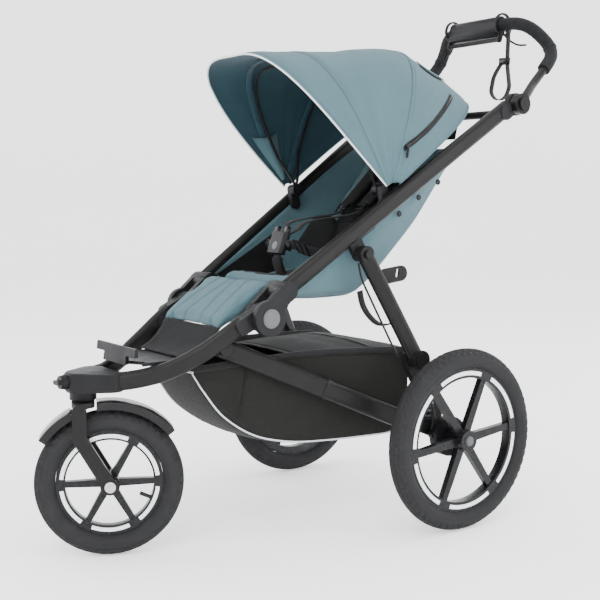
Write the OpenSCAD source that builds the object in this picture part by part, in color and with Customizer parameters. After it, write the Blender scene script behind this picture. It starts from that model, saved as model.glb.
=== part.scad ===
// Three-wheel jogging stroller with a swivelling front wheel and a folding frame.
// Millimetres. +X is the child's left, -Y is forward, +Z is up, the wheels stand on z = 0.
// Points in a side view are [y, z], with y counted from the rear axle.

/* [Placing] */
// Distance of the rear axle behind the origin
rear_axle_y = 213.2; // [150:0.1:300]

/* [Rear wheels] */
// Radius of a rear tyre
rear_r = 200; // [198:0.5:202]
// Half the width of a rear tyre
rear_tyre_w = 23.5; // [22:0.5:24]
// Distance from the middle of the stroller to the middle of a rear wheel
rear_track = 316; // [315:0.5:318]
// Turn of the rear spokes about the axle
rear_spoke_turn = 6; // [0:1:59]

/* [Front wheel] */
// Radius of the front tyre
front_r = 151; // [149:0.5:152]
// Half the width of the front tyre
front_tyre_w = 25; // [23:0.5:25.5]
// Distance of the swivel axis ahead of the rear axle
wheelbase = 745; // [743:1:747]
// Distance of the front axle behind the swivel axis
trail = 50; // [47:1:53]
// Angle that the swivel fork stands turned at
swivel_turn = -24.7; // [-30:0.1:30]

/* [Frame tubes] */
// Width of the frame tubes across the stroller
tube_w = 24; // [23:0.5:25]
// Height of the frame tubes
tube_h = 38; // [36:0.5:40]
// Wall of the frame tubes
tube_wall = 2; // [1.5:0.5:3]
// Slope of the upper tubes above the floor
tube_slope = 34.24; // [34:0.02:34.5]
// Half the distance between the upper tubes level with the rear axle
tube_half = 203.5; // [202:0.5:205]
// Height of the upper tubes' middle line level with the rear axle
tube_z = 784; // [782:1:786]
// Outward spread of an upper tube for each millimetre that it runs backwards
tube_spread = 0.106; // [0.104:0.001:0.108]

/* [Pivots] */
// Frame hinge, seen from the side
fold_pivot = [-413, 481]; // [-415:1:483]
// Pivot of the rear legs on the upper tubes
leg_pivot = [-184, 606]; // [-186:1:608]
// Pivot of the rear legs on the uprights
knuckle_pivot = [-64, 372]; // [-66:1:374]
// Pivot of the lower links under the front tubes
link_pivot = [-490, 420]; // [-492:1:422]
// Pivot of the suspension arms
arm_pivot = [-60, 226]; // [-62:1:228]
// Pivot of the handle
handle_pivot = [246, 940]; // [244:1:942]
// Pivot of the canopy bows
canopy_pivot = [-108, 744]; // [-110:1:746]
// Pivot of the backrest
recline_pivot = [-118, 566]; // [-120:1:568]

/* [Canopy] */
// Distance of the canopy's rear bow from its pivot, at the top
canopy_r = 331; // [325:1:336]
// Half the width of the canopy
canopy_half = 209; // [208:0.5:212]

/* [Basket] */
// Thickness of the basket's cloth
basket_wall = 3; // [2:0.5:4]

/* [Hidden] */
$fn = 64;
running = 0.05;      // radial clearance of a shaft in its bore
pin_r = 6;           // frame pins and wheel axles
slope_dir = [cos(tube_slope), sin(tube_slope)];

frame_col = [0.17, 0.17, 0.18];
plastic_col = [0.09, 0.09, 0.10];
tyre_col = [0.16, 0.16, 0.165];
silver_col = [0.80, 0.81, 0.82];
teal_col = [0.40, 0.52, 0.57];
basket_col = [0.10, 0.10, 0.09];
web_col = [0.07, 0.07, 0.075];
grey_col = [0.36, 0.38, 0.40];

// ---- helpers ----

// Everything is drawn with y counted from the rear axle
module place() {
    translate([0, rear_axle_y, 0]) children();
}

// The same piece on the left and on the right
module both() {
    children();
    mirror([1, 0, 0]) children();
}

// Children are drawn on the right when side is -1
module on_side(side) {
    mirror([side < 0 ? 1 : 0, 0, 0]) children();
}

function unit(v) = v / norm(v);

// A point beside the frame hinge, along the tubes' slope and square to it
function beside_fold(along, up) = [
    fold_pivot[0] + along * slope_dir[0] - up * slope_dir[1],
    fold_pivot[1] + along * slope_dir[1] + up * slope_dir[0]
];

// A point on the left upper tube's middle line
function tube_point(y) = [tube_half + tube_spread * y, y, tube_z + tan(tube_slope) * y];

// A point of the side view, x off the middle
function in_space(x, p) = [x, p[0], p[1]];

// A round bar between two points
module rod(a, b, r) {
    v = b - a;
    translate(a)
        rotate([0, acos(v[2] / norm(v)), atan2(v[1], v[0])])
            cylinder(h = norm(v), r = r);
}

// Outline with straight sides and round ends
module stadium(length, width) {
    square([length - width, width], center = true);
    for (s = [-1, 1]) translate([s * (length - width) / 2, 0]) circle(width / 2);
}

// A tube of flat oval section between two points; wall 0 is solid
module oval_tube(a, b, width, height, wall = 0) {
    v = b - a;
    translate(a)
        rotate([0, acos(v[2] / norm(v)), atan2(v[1], v[0])])
            linear_extrude(norm(v))
                difference() {
                    stadium(height, width);
                    if (wall > 0) stadium(height - 2 * wall, width - 2 * wall);
                }
}

// A flat strap between two points, its width lying across the stroller
module strap(a, b, width, thick) {
    v = b - a;
    translate(a)
        rotate([0, acos(v[2] / norm(v)), atan2(v[1], v[0])])
            linear_extrude(norm(v)) square([thick, width], center = true);
}

// An outline in the side view, made solid from x = x0 to x = x1
module side_plate(x0, x1) {
    translate([x0, 0, 0]) rotate([90, 0, 90]) linear_extrude(x1 - x0) children();
}

// A disc lying across the stroller at a point of the side view
module side_disc(centre, r, x0, x1) {
    translate([x0, centre[0], centre[1]]) rotate([0, 90, 0]) cylinder(h = x1 - x0, r = r);
}

// A bar in a side outline from one point to another
module side_bar(a, b, width) {
    v = b - a;
    translate((a + b) / 2) rotate(atan2(v[1], v[0])) stadium(norm(v) + width, width);
}

// ---- bent tubes ----

// One point of a smooth curve through four points
function curve_point(a, b, c, d, t) =
    0.5 * (2 * b + (c - a) * t + (2 * a - 5 * b + 4 * c - d) * t * t
           + (3 * b - a - 3 * c + d) * t * t * t);

// A smooth curve through all the points of a route, steps to each stretch
function smooth(route, steps) = concat(
    [for (i = [0:len(route) - 2], k = [0:steps - 1])
        curve_point(route[max(i - 1, 0)], route[i], route[i + 1],
                    route[min(i + 2, len(route) - 1)], k / steps)],
    [route[len(route) - 1]]);

// Direction of a path at its i-th point
function heading(path, i) =
    unit(path[min(i + 1, len(path) - 1)] - path[max(i - 1, 0)]);

// One ring of a swept section: width across, height along the upright direction
function sweep_ring(path, i, across, width, height, sides) =
    let (t = heading(path, i), side = unit(cross(across, t)), wide = cross(t, side))
    [for (k = [0:sides - 1])
        let (a = 360 * (k + 0.5) / sides,
             flat = (height - width) / 2 * (sin(a) > 0 ? 1 : -1))
        path[i] + wide * (width / 2 * cos(a)) + side * (width / 2 * sin(a) + flat)];

// A solid swept along a path; across is roughly square to the path and holds the width
module sweep(path, width, height, across = [1, 0, 0], sides = 16) {
    n = len(path);
    points = [for (i = [0:n - 1]) each sweep_ring(path, i, across, width, height, sides)];
    faces = concat(
        [[for (k = [sides - 1:-1:0]) k]],
        [for (i = [0:n - 2], k = [0:sides - 1])
            let (a = i * sides + k, b = i * sides + (k + 1) % sides)
            each [[a, b + sides, a + sides], [a, b, b + sides]]],
        [[for (k = [0:sides - 1]) (n - 1) * sides + k]]);
    polyhedron(points, faces);
}

// ---- upper frame ----

tube_low = beside_fold(60, 0)[0];
tube_high = 216;

module upper_tube(side) {
    color(frame_col) on_side(side)
        oval_tube(tube_point(tube_low), tube_point(tube_high), tube_w, tube_h, tube_wall);
}

fold_r = 37;           // outer disc of the frame hinge
lug_r = 30;
outer_plate = [171, 187];
inner_plate = [125, 139];
lug_span = [140, 170];

module fold_castings() {
    color(frame_col) both() {
        difference() {
            union() {
                side_disc(fold_pivot, fold_r, outer_plate[0], outer_plate[1]);
                side_disc(fold_pivot, lug_r, inner_plate[0], inner_plate[1]);
                for (plate = [outer_plate, inner_plate])
                    side_plate(plate[0], plate[1])
                        side_bar(beside_fold(12, 12), beside_fold(62, 18), 38);
                side_plate(inner_plate[0], outer_plate[1])
                    side_bar(beside_fold(63, 18), beside_fold(68, 18), 40);
            }
            side_disc(fold_pivot, pin_r, 0, 250);
        }
    }
}

module fold_pins() {
    color(silver_col) both() side_disc(fold_pivot, pin_r, inner_plate[0], outer_plate[1]);
}

module hinge_caps() {
    color(grey_col) both() {
        side_disc(fold_pivot, 20, outer_plate[1], outer_plate[1] + 2);
        side_disc(fold_pivot, 17, outer_plate[1] + 2, outer_plate[1] + 3);
    }
}

leg_x = [193, 215];    // sides of a rear leg at its upper pivot
module leg_brackets() {
    color(frame_col) both() {
        side_plate(180, 192) {
            side_bar(leg_pivot, leg_pivot + [-18, 34], 34);
            side_bar(leg_pivot + [-18, 34], leg_pivot + [30, 62], 22);
        }
        side_disc(leg_pivot, pin_r, 192, 220);
        side_disc(leg_pivot, 9, 219, 222);
    }
}

hub_r = 26;            // pivot housing of the handle
module handle_hubs() {
    color(plastic_col) both() {
        difference() {
            union() {
                side_disc(handle_pivot, hub_r, 214, 229);
                side_plate(214, 238)
                    side_bar([206, 920], [212, 924], 36);
            }
            side_disc(handle_pivot, hub_r + 1, 229, 260);
            side_disc(handle_pivot, pin_r, 200, 260);
        }
        side_disc(handle_pivot, pin_r, 214, 252);
        side_disc(handle_pivot, 15, 252, 256);
    }
}

module rear_crossbar() {
    color(frame_col) rod([-214, 210, 918], [214, 210, 918], 9);
}

bracket_x = [164, 178];
module canopy_brackets() {
    color(plastic_col) both() {
        side_plate(bracket_x[0], bracket_x[1])
            side_bar(canopy_pivot, canopy_pivot + [8, -36], 22);
        side_disc(canopy_pivot, 4, 148, bracket_x[0]);
        side_disc(canopy_pivot, 7, 145.5, 148);
    }
}

// ---- seat ----

seat_half = 142;
side_wall = [146, 149];
seat_front = -344;
seat_top = 552;

module seat_bottom() {
    color(teal_col)
        side_plate(-seat_half, seat_half)
            polygon([[seat_front, 516], [-150, 512], [-128, 520], [-124, 546],
                     [-140, seat_top + 4], [-240, seat_top - 4], [seat_front + 8, seat_top]]);
}

module seat_sides() {
    color(teal_col) both()
        side_plate(side_wall[0], side_wall[1])
            polygon([[seat_front, 514], [seat_front, 546], [-110, 700], [120, 852],
                     [140, 836], [124, 806], [0, 634], [-64, 578], [-112, 530], [-140, 510]]);
}

buckle_at = [-266, 624];
module lap_harness() {
    color(web_col) {
        strap([0, -262, seat_top - 1], [0, buckle_at[0], buckle_at[1] - 26], 24, 3);
        both() strap([142, -176, 606], [31, buckle_at[0] + 4, buckle_at[1] - 6], 22, 3);
    }
}

module buckle() {
    color(plastic_col)
        difference() {
            translate([0, buckle_at[0], buckle_at[1]]) rotate([-20, 0, 0])
                linear_extrude(50, center = true)
                    stadium(58, 18);
            translate([0, buckle_at[0], buckle_at[1]]) rotate([-20, 0, 0])
                translate([0, -9.5, -8]) rotate([90, 0, 0]) cylinder(h = 12, r = 9.3, center = true);
        }
}

// The button is pressed straight into the buckle
module buckle_button() {
    color(grey_col)
        translate([0, buckle_at[0], buckle_at[1]]) rotate([-20, 0, 0])
            translate([0, -7.5, -8]) rotate([90, 0, 0]) cylinder(h = 4, r = 9, center = true);
}

back_dir = [cos(50), sin(50)];
function beside_back(along, out) = [
    recline_pivot[0] + along * back_dir[0] + out * back_dir[1],
    recline_pivot[1] + along * back_dir[1] - out * back_dir[0]
];

module backrest() {
    color(teal_col)
        side_plate(-seat_half, seat_half)
            polygon([beside_back(20, -12), beside_back(18, 12), beside_back(120, 22),
                     beside_back(240, 22), beside_back(352, 8), beside_back(350, -12),
                     beside_back(230, -8), beside_back(110, -12)]);
    color(plastic_col) both() side_disc(recline_pivot, 8, seat_half - 4, side_wall[0] - 0.5);
}

module shoulder_harness() {
    color(web_col) both() {
        strap(in_space(34, beside_back(290, -18)), in_space(34, beside_back(150, -36)), 46, 9);
        strap(in_space(34, beside_back(149, -37)), [22, -240, 653], 22, 3);
    }
}

// ---- front frame ----

front_route = [[152, -462, 470], [148, -492, 450], [138, -532, 423], [124, -571, 400],
               [104, -608, 381], [80, -644, 369], [62, -674, 363], [50, -702, 361]];

module front_tubes() {
    color(frame_col) both() sweep(smooth(front_route, 3), tube_w, tube_h);
}

module fold_lugs() {
    color(frame_col) both()
        difference() {
            side_plate(lug_span[0], lug_span[1]) {
                translate(fold_pivot) circle(lug_r);
                side_bar(beside_fold(-8, 12), beside_fold(-52, 18), 34);
            }
            side_disc(fold_pivot, pin_r + running, 0, 250);
        }
}

link_x = [109, 127];   // sides of a lower link at its front end
module link_brackets() {
    color(frame_col) both() {
        side_plate(132, 138) {
            translate(link_pivot) circle(15);
            side_bar(link_pivot, link_pivot + [0, 28], 24);
        }
        side_disc(link_pivot, pin_r, link_x[0] - 2, 132);
        side_disc(link_pivot, 9, link_x[0] - 4, link_x[0] - 1);
    }
}

steer_r = 12;
head_low = 338;
head_high = 384;
module head_casting() {
    color(frame_col)
        difference() {
            union() {
                hull() {
                    translate([0, -wheelbase, head_low + 2]) cylinder(h = 40, r = 33, $fn = 32);
                    for (s = [-1, 1]) translate([s * 44, -705, head_low + 4])
                        cylinder(h = 36, r = 24, $fn = 32);
                    for (s = [-1, 1]) translate([s * 10, -768, head_low + 8])
                        cylinder(h = 30, r = 12, $fn = 32);
                    translate([0, -720, head_low]) cylinder(h = 44, r = 26, $fn = 32);
                }
                translate([0, -wheelbase, 324]) cylinder(h = 20, r = 27);
                translate([0, -wheelbase, 322]) cylinder(h = 3, r = 23);
            }
            translate([0, -wheelbase, 300]) cylinder(h = 74, r = steer_r + running);
        }
}

// The knob turns about a shaft that points forward out of the casting
knob_y = -781;
module swivel_lock_knob() {
    color(plastic_col) {
        translate([0, knob_y, 362]) rotate([90, 0, 0]) cylinder(h = 4, r = 15);
        translate([0, knob_y - 4, 362]) rotate([90, 0, 0]) cylinder(h = 10, r1 = 15, r2 = 13);
        translate([0, knob_y - 14, 362]) rotate([90, 0, 0])
            linear_extrude(8) stadium(26, 9);
    }
}

tray_half = 88;
module footrest() {
    color(plastic_col)
        difference() {
            side_plate(-tray_half, tray_half)
                polygon([[-676, 392], [-671, 428], [-665, 428], [-664, 399], [-560, 399],
                         [-508, 428], [-506, 422], [-556, 392]]);
            for (s = [-1, 1])
                translate([s * 66, -700, 380]) rotate([0, 0, s * 30])
                    translate([s * 20, 0, 0]) cube([40, 90, 60], center = true);
        }
}

module calf_pad() {
    color(teal_col)
        side_plate(-122, 122)
            polygon([[-507, 447], [-504, 460], [-452, 500], [-372, 549], [-356, 550],
                     [-354, 534], [-440, 479], [-487, 449]]);
}

// ---- swivel fork and front wheel ----

// Children stand about the swivel axis, turned as the fork is; y runs back from that axis
module swivelled() {
    translate([0, -wheelbase, 0]) rotate([0, 0, swivel_turn]) children();
}

fork_in = 32;          // inner face of a fork leg
fork_out = 45;
crown_low = 304;
module fork() {
    color(frame_col)
        swivelled() {
            translate([0, 0, crown_low]) cylinder(h = 69, r = steer_r);
            translate([0, 0, crown_low + 7]) linear_extrude(10) stadium(86, 46);
            for (s = [-1, 1])
                on_side(s)
                    difference() {
                        side_plate(fork_in, fork_out) {
                            side_bar([-8, 306], [-8, 250], 28);
                            side_bar([-8, 250], [trail - 4, front_r + 6], 28);
                            translate([trail, front_r]) circle(17);
                        }
                        side_disc([trail, front_r], pin_r, 0, 90);
                    }
        }
}

fender_in = front_r + 12;
module fender() {
    color(plastic_col)
        swivelled()
            difference() {
                translate([0, trail, front_r]) rotate([0, -90, 0]) rotate([0, 0, -55])
                    rotate_extrude(angle = 106)
                        difference() {
                            translate([fender_in - 10, -29]) square([16, 58]);
                            translate([fender_in - 11, -26.5]) square([14, 53]);
                        }
                translate([-60, -26, crown_low - 6]) cube([120, 52, 60]);
            }
}

module front_axle() {
    color(silver_col)
        swivelled() {
            side_disc([trail, front_r], pin_r, -fork_out, fork_out);
            for (s = [-1, 1]) on_side(s) side_disc([trail, front_r], 11, fork_out, fork_out + 4);
        }
}

// Wheels are drawn about their own centre with the outer side at +X
module tyre(r, half, seat) {
    rotate([0, 90, 0])
        rotate_extrude($fn = 96)
            intersection() {
                translate([r - half, 0]) circle(half);
                translate([seat, -half]) square([r, 2 * half]);
            }
}

module wheel_rim(outer, band, half, hub_r, hub_in, hub_out, spoke_w, turn, recess) {
    difference() {
        union() {
            rotate([0, 90, 0])
                rotate_extrude($fn = 96)
                    polygon([[outer - band, -half + 3], [outer - 6, -half], [outer, -half],
                             [outer, half], [outer - 6, half], [outer - band, half]]);
            for (k = [0:5])
                rotate([turn + 60 * k, 0, 0])
                    translate([-4, hub_r - 4, 0]) rotate([0, 90, 0]) linear_extrude(14)
                        polygon([[-spoke_w * 0.6, 0], [spoke_w * 0.6, 0],
                                 [spoke_w * 0.45, outer - band - hub_r + 6],
                                 [-spoke_w * 0.45, outer - band - hub_r + 6]]);
            translate([hub_in, 0, 0]) rotate([0, 90, 0]) cylinder(h = hub_out - hub_in, r = hub_r);
        }
        translate([-100, 0, 0]) rotate([0, 90, 0]) cylinder(h = 200, r = pin_r + running);
        if (recess > 0)
            translate([recess, 0, 0]) rotate([0, 90, 0]) cylinder(h = 60, r = 11.3);
    }
}

// Six silver arcs on the rim's face, one between each two spokes
module reflectors(outer, inner, face, turn, gap) {
    for (k = [0:5])
        rotate([turn + 60 * k + gap / 2, 0, 0])
            translate([face, 0, 0]) rotate([90, 0, 90])
                rotate_extrude(angle = 60 - gap, $fn = 96)
                    translate([inner, 0]) square([outer - inner, 1.2]);
}

front_seat = front_r - 43;
module front_spin() {
    swivelled() translate([0, trail, front_r]) children();
}

module front_tyre() {
    color(tyre_col) front_spin() tyre(front_r, front_tyre_w, front_seat + 0.2);
}

module front_rim() {
    color(plastic_col) front_spin() {
        wheel_rim(front_seat, 19, 12, 20, -31, 31, 13, 0, 0);
        rotate([-24, 0, 0]) translate([0, 66, 0]) rotate([-90, 0, 0]) cylinder(h = 24, r = 4);
    }
}

module front_reflectors() {
    color(silver_col) front_spin() both()
        reflectors(front_seat - 7, front_seat - 15, 12, 0, 14);
}

// ---- lower links and rear end ----

link_h = 42;
link_rear = [-72, 231];
module lower_links() {
    front = in_space((link_x[0] + link_x[1]) / 2, link_pivot);
    rear = [220, link_rear[0], link_rear[1]];
    way = unit(rear - front);
    color(frame_col) both()
        difference() {
            union() {
                oval_tube(front + 8 * way, rear, 18, link_h, tube_wall);
                side_disc(link_pivot, link_h / 2, link_x[0], link_x[1]);
                oval_tube(front + 248 * way, front + 262 * way, 21, link_h + 3, 0);
            }
            side_disc(link_pivot, pin_r + running, 0, 200);
        }
}

upright_foot = [14, 232];
module rear_uprights() {
    color(frame_col) both() {
        side_plate(205, 224) {
            side_bar(knuckle_pivot, knuckle_pivot + [12, -26], 34);
            side_bar(knuckle_pivot + [10, -26], upright_foot, 28);
            side_bar(arm_pivot, upright_foot + [-6, 0], 26);
            side_bar(arm_pivot, link_rear + [-12, 5], 40);
        }
        side_disc([-36, 306], 13, 220, 258);
        side_disc(arm_pivot, 8, 220, 258);
    }
}

beam_at = [8, 236];
beam_r = 12;
module rear_beam() {
    color(frame_col) side_disc(beam_at, beam_r, -205, 205);
}

axle_in = 232;
module rear_arm(side) {
    color(plastic_col) on_side(side)
        difference() {
            union() {
                side_plate(236, 254) {
                    side_bar(arm_pivot, [0, rear_r], 27);
                    side_bar([-22, 212], [-27, 226], 20);
                }
                side_disc([0, rear_r], 30, 254, 262);
                side_disc([0, rear_r], 44, 262, 284);
                side_disc([0, rear_r], pin_r, 284, rear_track + 13);
                side_plate(262, 274) side_bar([-40, 206], [-30, 206], 16);
            }
            side_disc(arm_pivot, 8 + running, 200, 300);
        }
}

spring_low = [-29, 239];
spring_high = [-35, 291];
spring_turns = 5;
module spring(side) {
    // coil about the line between the two seats
    axis = unit([0, spring_high[0] - spring_low[0], spring_high[1] - spring_low[1]]);
    length = norm(spring_high - spring_low);
    route = [for (k = [0:spring_turns * 10])
        [246 + 9 * cos(36 * k), spring_low[0] + axis[1] * length * k / (spring_turns * 10)
         + 9 * sin(36 * k) * axis[2],
         spring_low[1] + axis[2] * length * k / (spring_turns * 10)
         - 9 * sin(36 * k) * axis[1]]];
    color(grey_col) on_side(side) sweep(route, 3.4, 3.4, across = [0.01, axis[1], axis[2]], sides = 8);
}

module rear_spin(side) {
    on_side(side) translate([rear_track, 0, rear_r]) children();
}

rear_seat = rear_r - 42;
module rear_tyre(side) {
    color(tyre_col) rear_spin(side) tyre(rear_r, rear_tyre_w, rear_seat + 0.2);
}

module rear_rim(side) {
    color(plastic_col) rear_spin(side)
        wheel_rim(rear_seat, 21, 13, 23, -29, 25, 16, rear_spoke_turn, 14);
}

module rear_reflectors(side) {
    color(silver_col) rear_spin(side)
        reflectors(rear_seat - 6, rear_seat - 15, 13, rear_spoke_turn, 13);
}

module release_button(side) {
    color(grey_col) rear_spin(side)
        translate([18, 0, 0]) rotate([0, 90, 0]) {
            cylinder(h = 9.5, r = 11);
            cylinder(h = 11, r = 9.5);
        }
}

// ---- basket ----

module basket_side(inset) {
    polygon([[-548 + inset * 2, 372 - inset], [-520 + inset * 1.5, 316], [-478 + inset, 262 + inset * 0.6],
             [-410, 216 + inset], [-330, 194 + inset], [-250, 189 + inset], [-60, 190 + inset],
             [-34 - inset, 232], [-34 - inset, 384 - inset], [-300, 392 - inset]]);
}

module basket_plan(inset) {
    polygon([[-100 + inset, -560], [100 - inset, -560], [184 - inset, -20], [-184 + inset, -20]]);
}

module basket_block(inset) {
    intersection() {
        side_plate(-200, 200) basket_side(inset);
        translate([0, 0, 150]) linear_extrude(400) basket_plan(inset);
    }
}

// Open at the front of its top, closed by a cover behind
module basket() {
    color(basket_col)
        difference() {
            basket_block(0);
            basket_block(basket_wall);
            translate([0, 0, 330])
                linear_extrude(90)
                    intersection() {
                        basket_plan(basket_wall + 4);
                        translate([-200, -534]) square([400, 223]);
                    }
        }
}

module parking_pedal() {
    color(plastic_col)
        difference() {
            side_plate(-40, 40) side_bar(beam_at, beam_at + [50, 20], 30);
            side_disc(beam_at, beam_r + running, -50, 50);
        }
}

// ---- rear legs ----

leg_low_x = 240;       // middle of a rear leg at the knuckle
module rear_legs() {
    top = [204, leg_pivot[0], leg_pivot[1]];
    low = [leg_low_x, knuckle_pivot[0], knuckle_pivot[1]];
    way = unit(low - top);
    color(frame_col) both() {
        difference() {
            union() {
                oval_tube(top + 6 * way, low - 14 * way, 22, 36, tube_wall);
                side_disc(leg_pivot, 18, leg_x[0], leg_x[1]);
                side_disc(knuckle_pivot, 19, 229, 251);
                side_disc(knuckle_pivot, 22, 251, 259);
                side_disc(knuckle_pivot, 16, 259, 262);
                difference() {
                    side_plate(204, 209) side_bar([-128, 556], [-84, 561], 34);
                    side_plate(200, 212) side_bar([-96, 556], [-94, 568], 8);
                }
            }
            side_disc(leg_pivot, pin_r + running, 180, 230);
        }
    }
}

strap_route = [[214, -110, 455], [200, -118, 449], [180, -126, 450], [162, -134, 464],
               [151, -141, 482], [147, -146, 500]];
module leg_straps() {
    color(web_col) both() sweep(smooth(strap_route, 3), 11, 11, across = [0, 1, 0], sides = 12);
}

upper_cable = [[204, -200, 588], [206, -192, 552], [211, -170, 506], [217, -143, 452], [222, -116, 400], [224, -104, 378]];
module brake_cable_upper() {
    color(web_col) both() sweep(smooth(upper_cable, 4), 5, 5, sides = 8);
}

lower_cable = [[266, -80, 350], [268, -64, 320], [270, -50, 290], [270, -42, 262], [269, -41, 238], [268, -44, 219]];
module brake_cable_lower() {
    color(web_col) both() {
        sweep(smooth(lower_cable, 4), 5, 5, sides = 8);
        rod([270, -42.6, 262], [269.4, -40, 244], 4.5);
    }
}

// ---- handle ----

handle_half = [[240, 252, 945], [230, 280, 967], [218, 312, 991], [210, 356, 1028], [204, 386, 1058],
               [192, 397, 1082], [172, 393, 1108], [144, 379, 1135], [108, 370, 1149],
               [56, 367, 1152]];
handle_route = concat(handle_half, [[0, 367, 1152]],
                      [for (k = [len(handle_half) - 1:-1:0])
                          [-handle_half[k][0], handle_half[k][1], handle_half[k][2]]]);
handle_path = smooth(handle_route, 3);
across_handle = [0, -0.62, 0.78];

module handle_bar() {
    color(frame_col)
        difference() {
            union() {
                sweep(handle_path, 20, 20, across = across_handle, sides = 12);
                both() side_disc(handle_pivot, 24, 230, 250);
            }
            both() {
                side_disc(handle_pivot, hub_r + 1, 200, 230);
                side_disc(handle_pivot, pin_r + running, 200, 260);
            }
        }
}

module handle_grip() {
    color(web_col)
        sweep([for (k = [9:len(handle_path) - 10]) handle_path[k]], 31, 31,
              across = across_handle, sides = 16);
}

bar_axis = [367, 1152];        // straight top of the handle, seen from the side
console_span = [-108, 60];
module brake_console() {
    color(plastic_col)
        side_plate(console_span[0], console_span[1])
            side_bar(bar_axis + [0, 4], bar_axis + [-5, -14], 34);
}

// The twist brake turns about the bar of the handle
lever_ring = 6;
lever_out = [-12, -38];
module brake_lever() {
    color(plastic_col) {
        for (x = [console_span[0] - lever_ring - 1, console_span[1] + 1])
            difference() {
                side_plate(x, x + lever_ring) {
                    translate(bar_axis) circle(28);
                    side_bar(bar_axis, bar_axis + lever_out, 14);
                }
                side_disc(bar_axis, 23.5, x - 1, x + lever_ring + 1);
            }
        side_disc(bar_axis + lever_out, 5.5, console_span[0] - lever_ring + 1,
                  console_span[1] + lever_ring - 1);
    }
}

wrist_route = [[82, 368, 1134], [82, 367, 1110], [82, 364, 1080], [81, 361, 1050], [80, 359, 1020],
               [79, 358, 990], [78, 358, 966]];
module wrist_strap() {
    color(web_col) sweep(smooth(wrist_route, 3), 5, 14, across = [1, 0, 0], sides = 8);
}

// ---- canopy ----

low_turn = 36;         // lower edge of the canopy, just above the upper tubes
rear_turn = 72;
front_turn = 119;
visor_turn = 138.5;

// The arch gets narrower and rounder from the lower edge to the visor's edge
function arch_share(turn) = (turn - low_turn) / (visor_turn - low_turn);
function arch_half(turn) = canopy_half - 14 * arch_share(turn);
function arch_power(turn) = 0.46 + 0.16 * arch_share(turn);

// Distance to the side and from the pivot on the arch at a turn, phi running from one side to the other
function arch(r, inset, phi, turn) = [
    (arch_half(turn) - inset) * sign(phi) * pow(abs(sin(phi)), arch_power(turn)),
    (r - inset) * pow(cos(phi), arch_power(turn))
];

function arch_point(r, inset, phi, turn) =
    let (a = arch(r, inset, phi, turn))
    [a[0], canopy_pivot[0] + a[1] * cos(turn), canopy_pivot[1] + a[1] * sin(turn)];

arch_steps = 24;
arch_end = 89.8;
cloth = 2.5;

// Cloth between two turns of the bows; radii are at its first edge, half way and its last edge
module canopy_shell(turns, radii, inset, steps) {
    rows = steps + 1;
    cols = arch_steps + 1;
    grid = [for (skin = [0, 1], i = [0:steps], j = [0:arch_steps])
        let (t = i / steps,
             r = radii[0] + (radii[2] - radii[0]) * t
                 + 4 * (radii[1] - (radii[0] + radii[2]) / 2) * t * (1 - t))
        arch_point(r, inset + skin * cloth, arch_end * (2 * j / arch_steps - 1),
                   turns[0] + (turns[1] - turns[0]) * t)];
    function at(skin, i, j) = (skin * rows + i) * cols + j;
    faces = concat(
        [for (i = [0:steps - 1], j = [0:arch_steps - 1])
            each [[at(0, i, j), at(0, i, j + 1), at(0, i + 1, j + 1)],
                  [at(0, i, j), at(0, i + 1, j + 1), at(0, i + 1, j)],
                  [at(1, i, j), at(1, i + 1, j + 1), at(1, i, j + 1)],
                  [at(1, i, j), at(1, i + 1, j), at(1, i + 1, j + 1)]]],
        [for (j = [0:arch_steps - 1])
            each [[at(0, 0, j), at(1, 0, j + 1), at(0, 0, j + 1)],
                  [at(0, 0, j), at(1, 0, j), at(1, 0, j + 1)],
                  [at(0, steps, j), at(0, steps, j + 1), at(1, steps, j + 1)],
                  [at(0, steps, j), at(1, steps, j + 1), at(1, steps, j)]]],
        [for (i = [0:steps - 1])
            each [[at(0, i, 0), at(0, i + 1, 0), at(1, i + 1, 0)],
                  [at(0, i, 0), at(1, i + 1, 0), at(1, i, 0)],
                  [at(0, i, arch_steps), at(1, i + 1, arch_steps), at(0, i + 1, arch_steps)],
                  [at(0, i, arch_steps), at(1, i, arch_steps), at(1, i + 1, arch_steps)]]]);
    polyhedron(grid, faces);
}

// A bow runs inside the cloth and bends in beside the tube to reach its pivot
module canopy_bow(turn, r, inset, foot) {
    phi_end = 84;
    straight = 26;     // the bow leaves its ring straight, clear of the bracket
    plane = concat([[-foot, 0], [-foot, straight]],
                   [for (j = [0:arch_steps])
                       let (p = arch(r, inset, phi_end * (2 * j / arch_steps - 1), turn))
                       [min(abs(p[0]), foot + (p[1] - straight) * 0.45) * sign(p[0]), p[1]]],
                   [[foot, straight], [foot, 0]]);
    path = [for (p = plane)
        [p[0], canopy_pivot[0] + p[1] * cos(turn), canopy_pivot[1] + p[1] * sin(turn)]];
    difference() {
        union() {
            sweep(path, 7, 7, across = [0, -sin(turn), cos(turn)], sides = 8);
            both() side_disc(canopy_pivot, 13, foot - 3.8, foot + 3.8);
        }
        side_disc(canopy_pivot, 4 + running, -200, 200);
    }
}

module canopy_rear_panel() {
    color(teal_col)
        canopy_shell([low_turn, rear_turn], [canopy_r + 27, canopy_r + 2, canopy_r], 0, 5);
}

module canopy_rear_bow() {
    color(plastic_col) canopy_bow(rear_turn, canopy_r, 16, 160);
}

module canopy_front_panel() {
    color(teal_col)
        canopy_shell([rear_turn + 1, front_turn],
                     [canopy_r - 1, canopy_r - 19, canopy_r + 6], 4, 8);
}

module canopy_front_bow() {
    color(plastic_col) canopy_bow(front_turn, canopy_r + 6, 25, 152);
}

module canopy_visor() {
    color(teal_col)
        canopy_shell([front_turn, visor_turn],
                     [canopy_r + 9, canopy_r + 44, canopy_r + 81], 0, 5);
}

// ---- one node at a time ----

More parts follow.
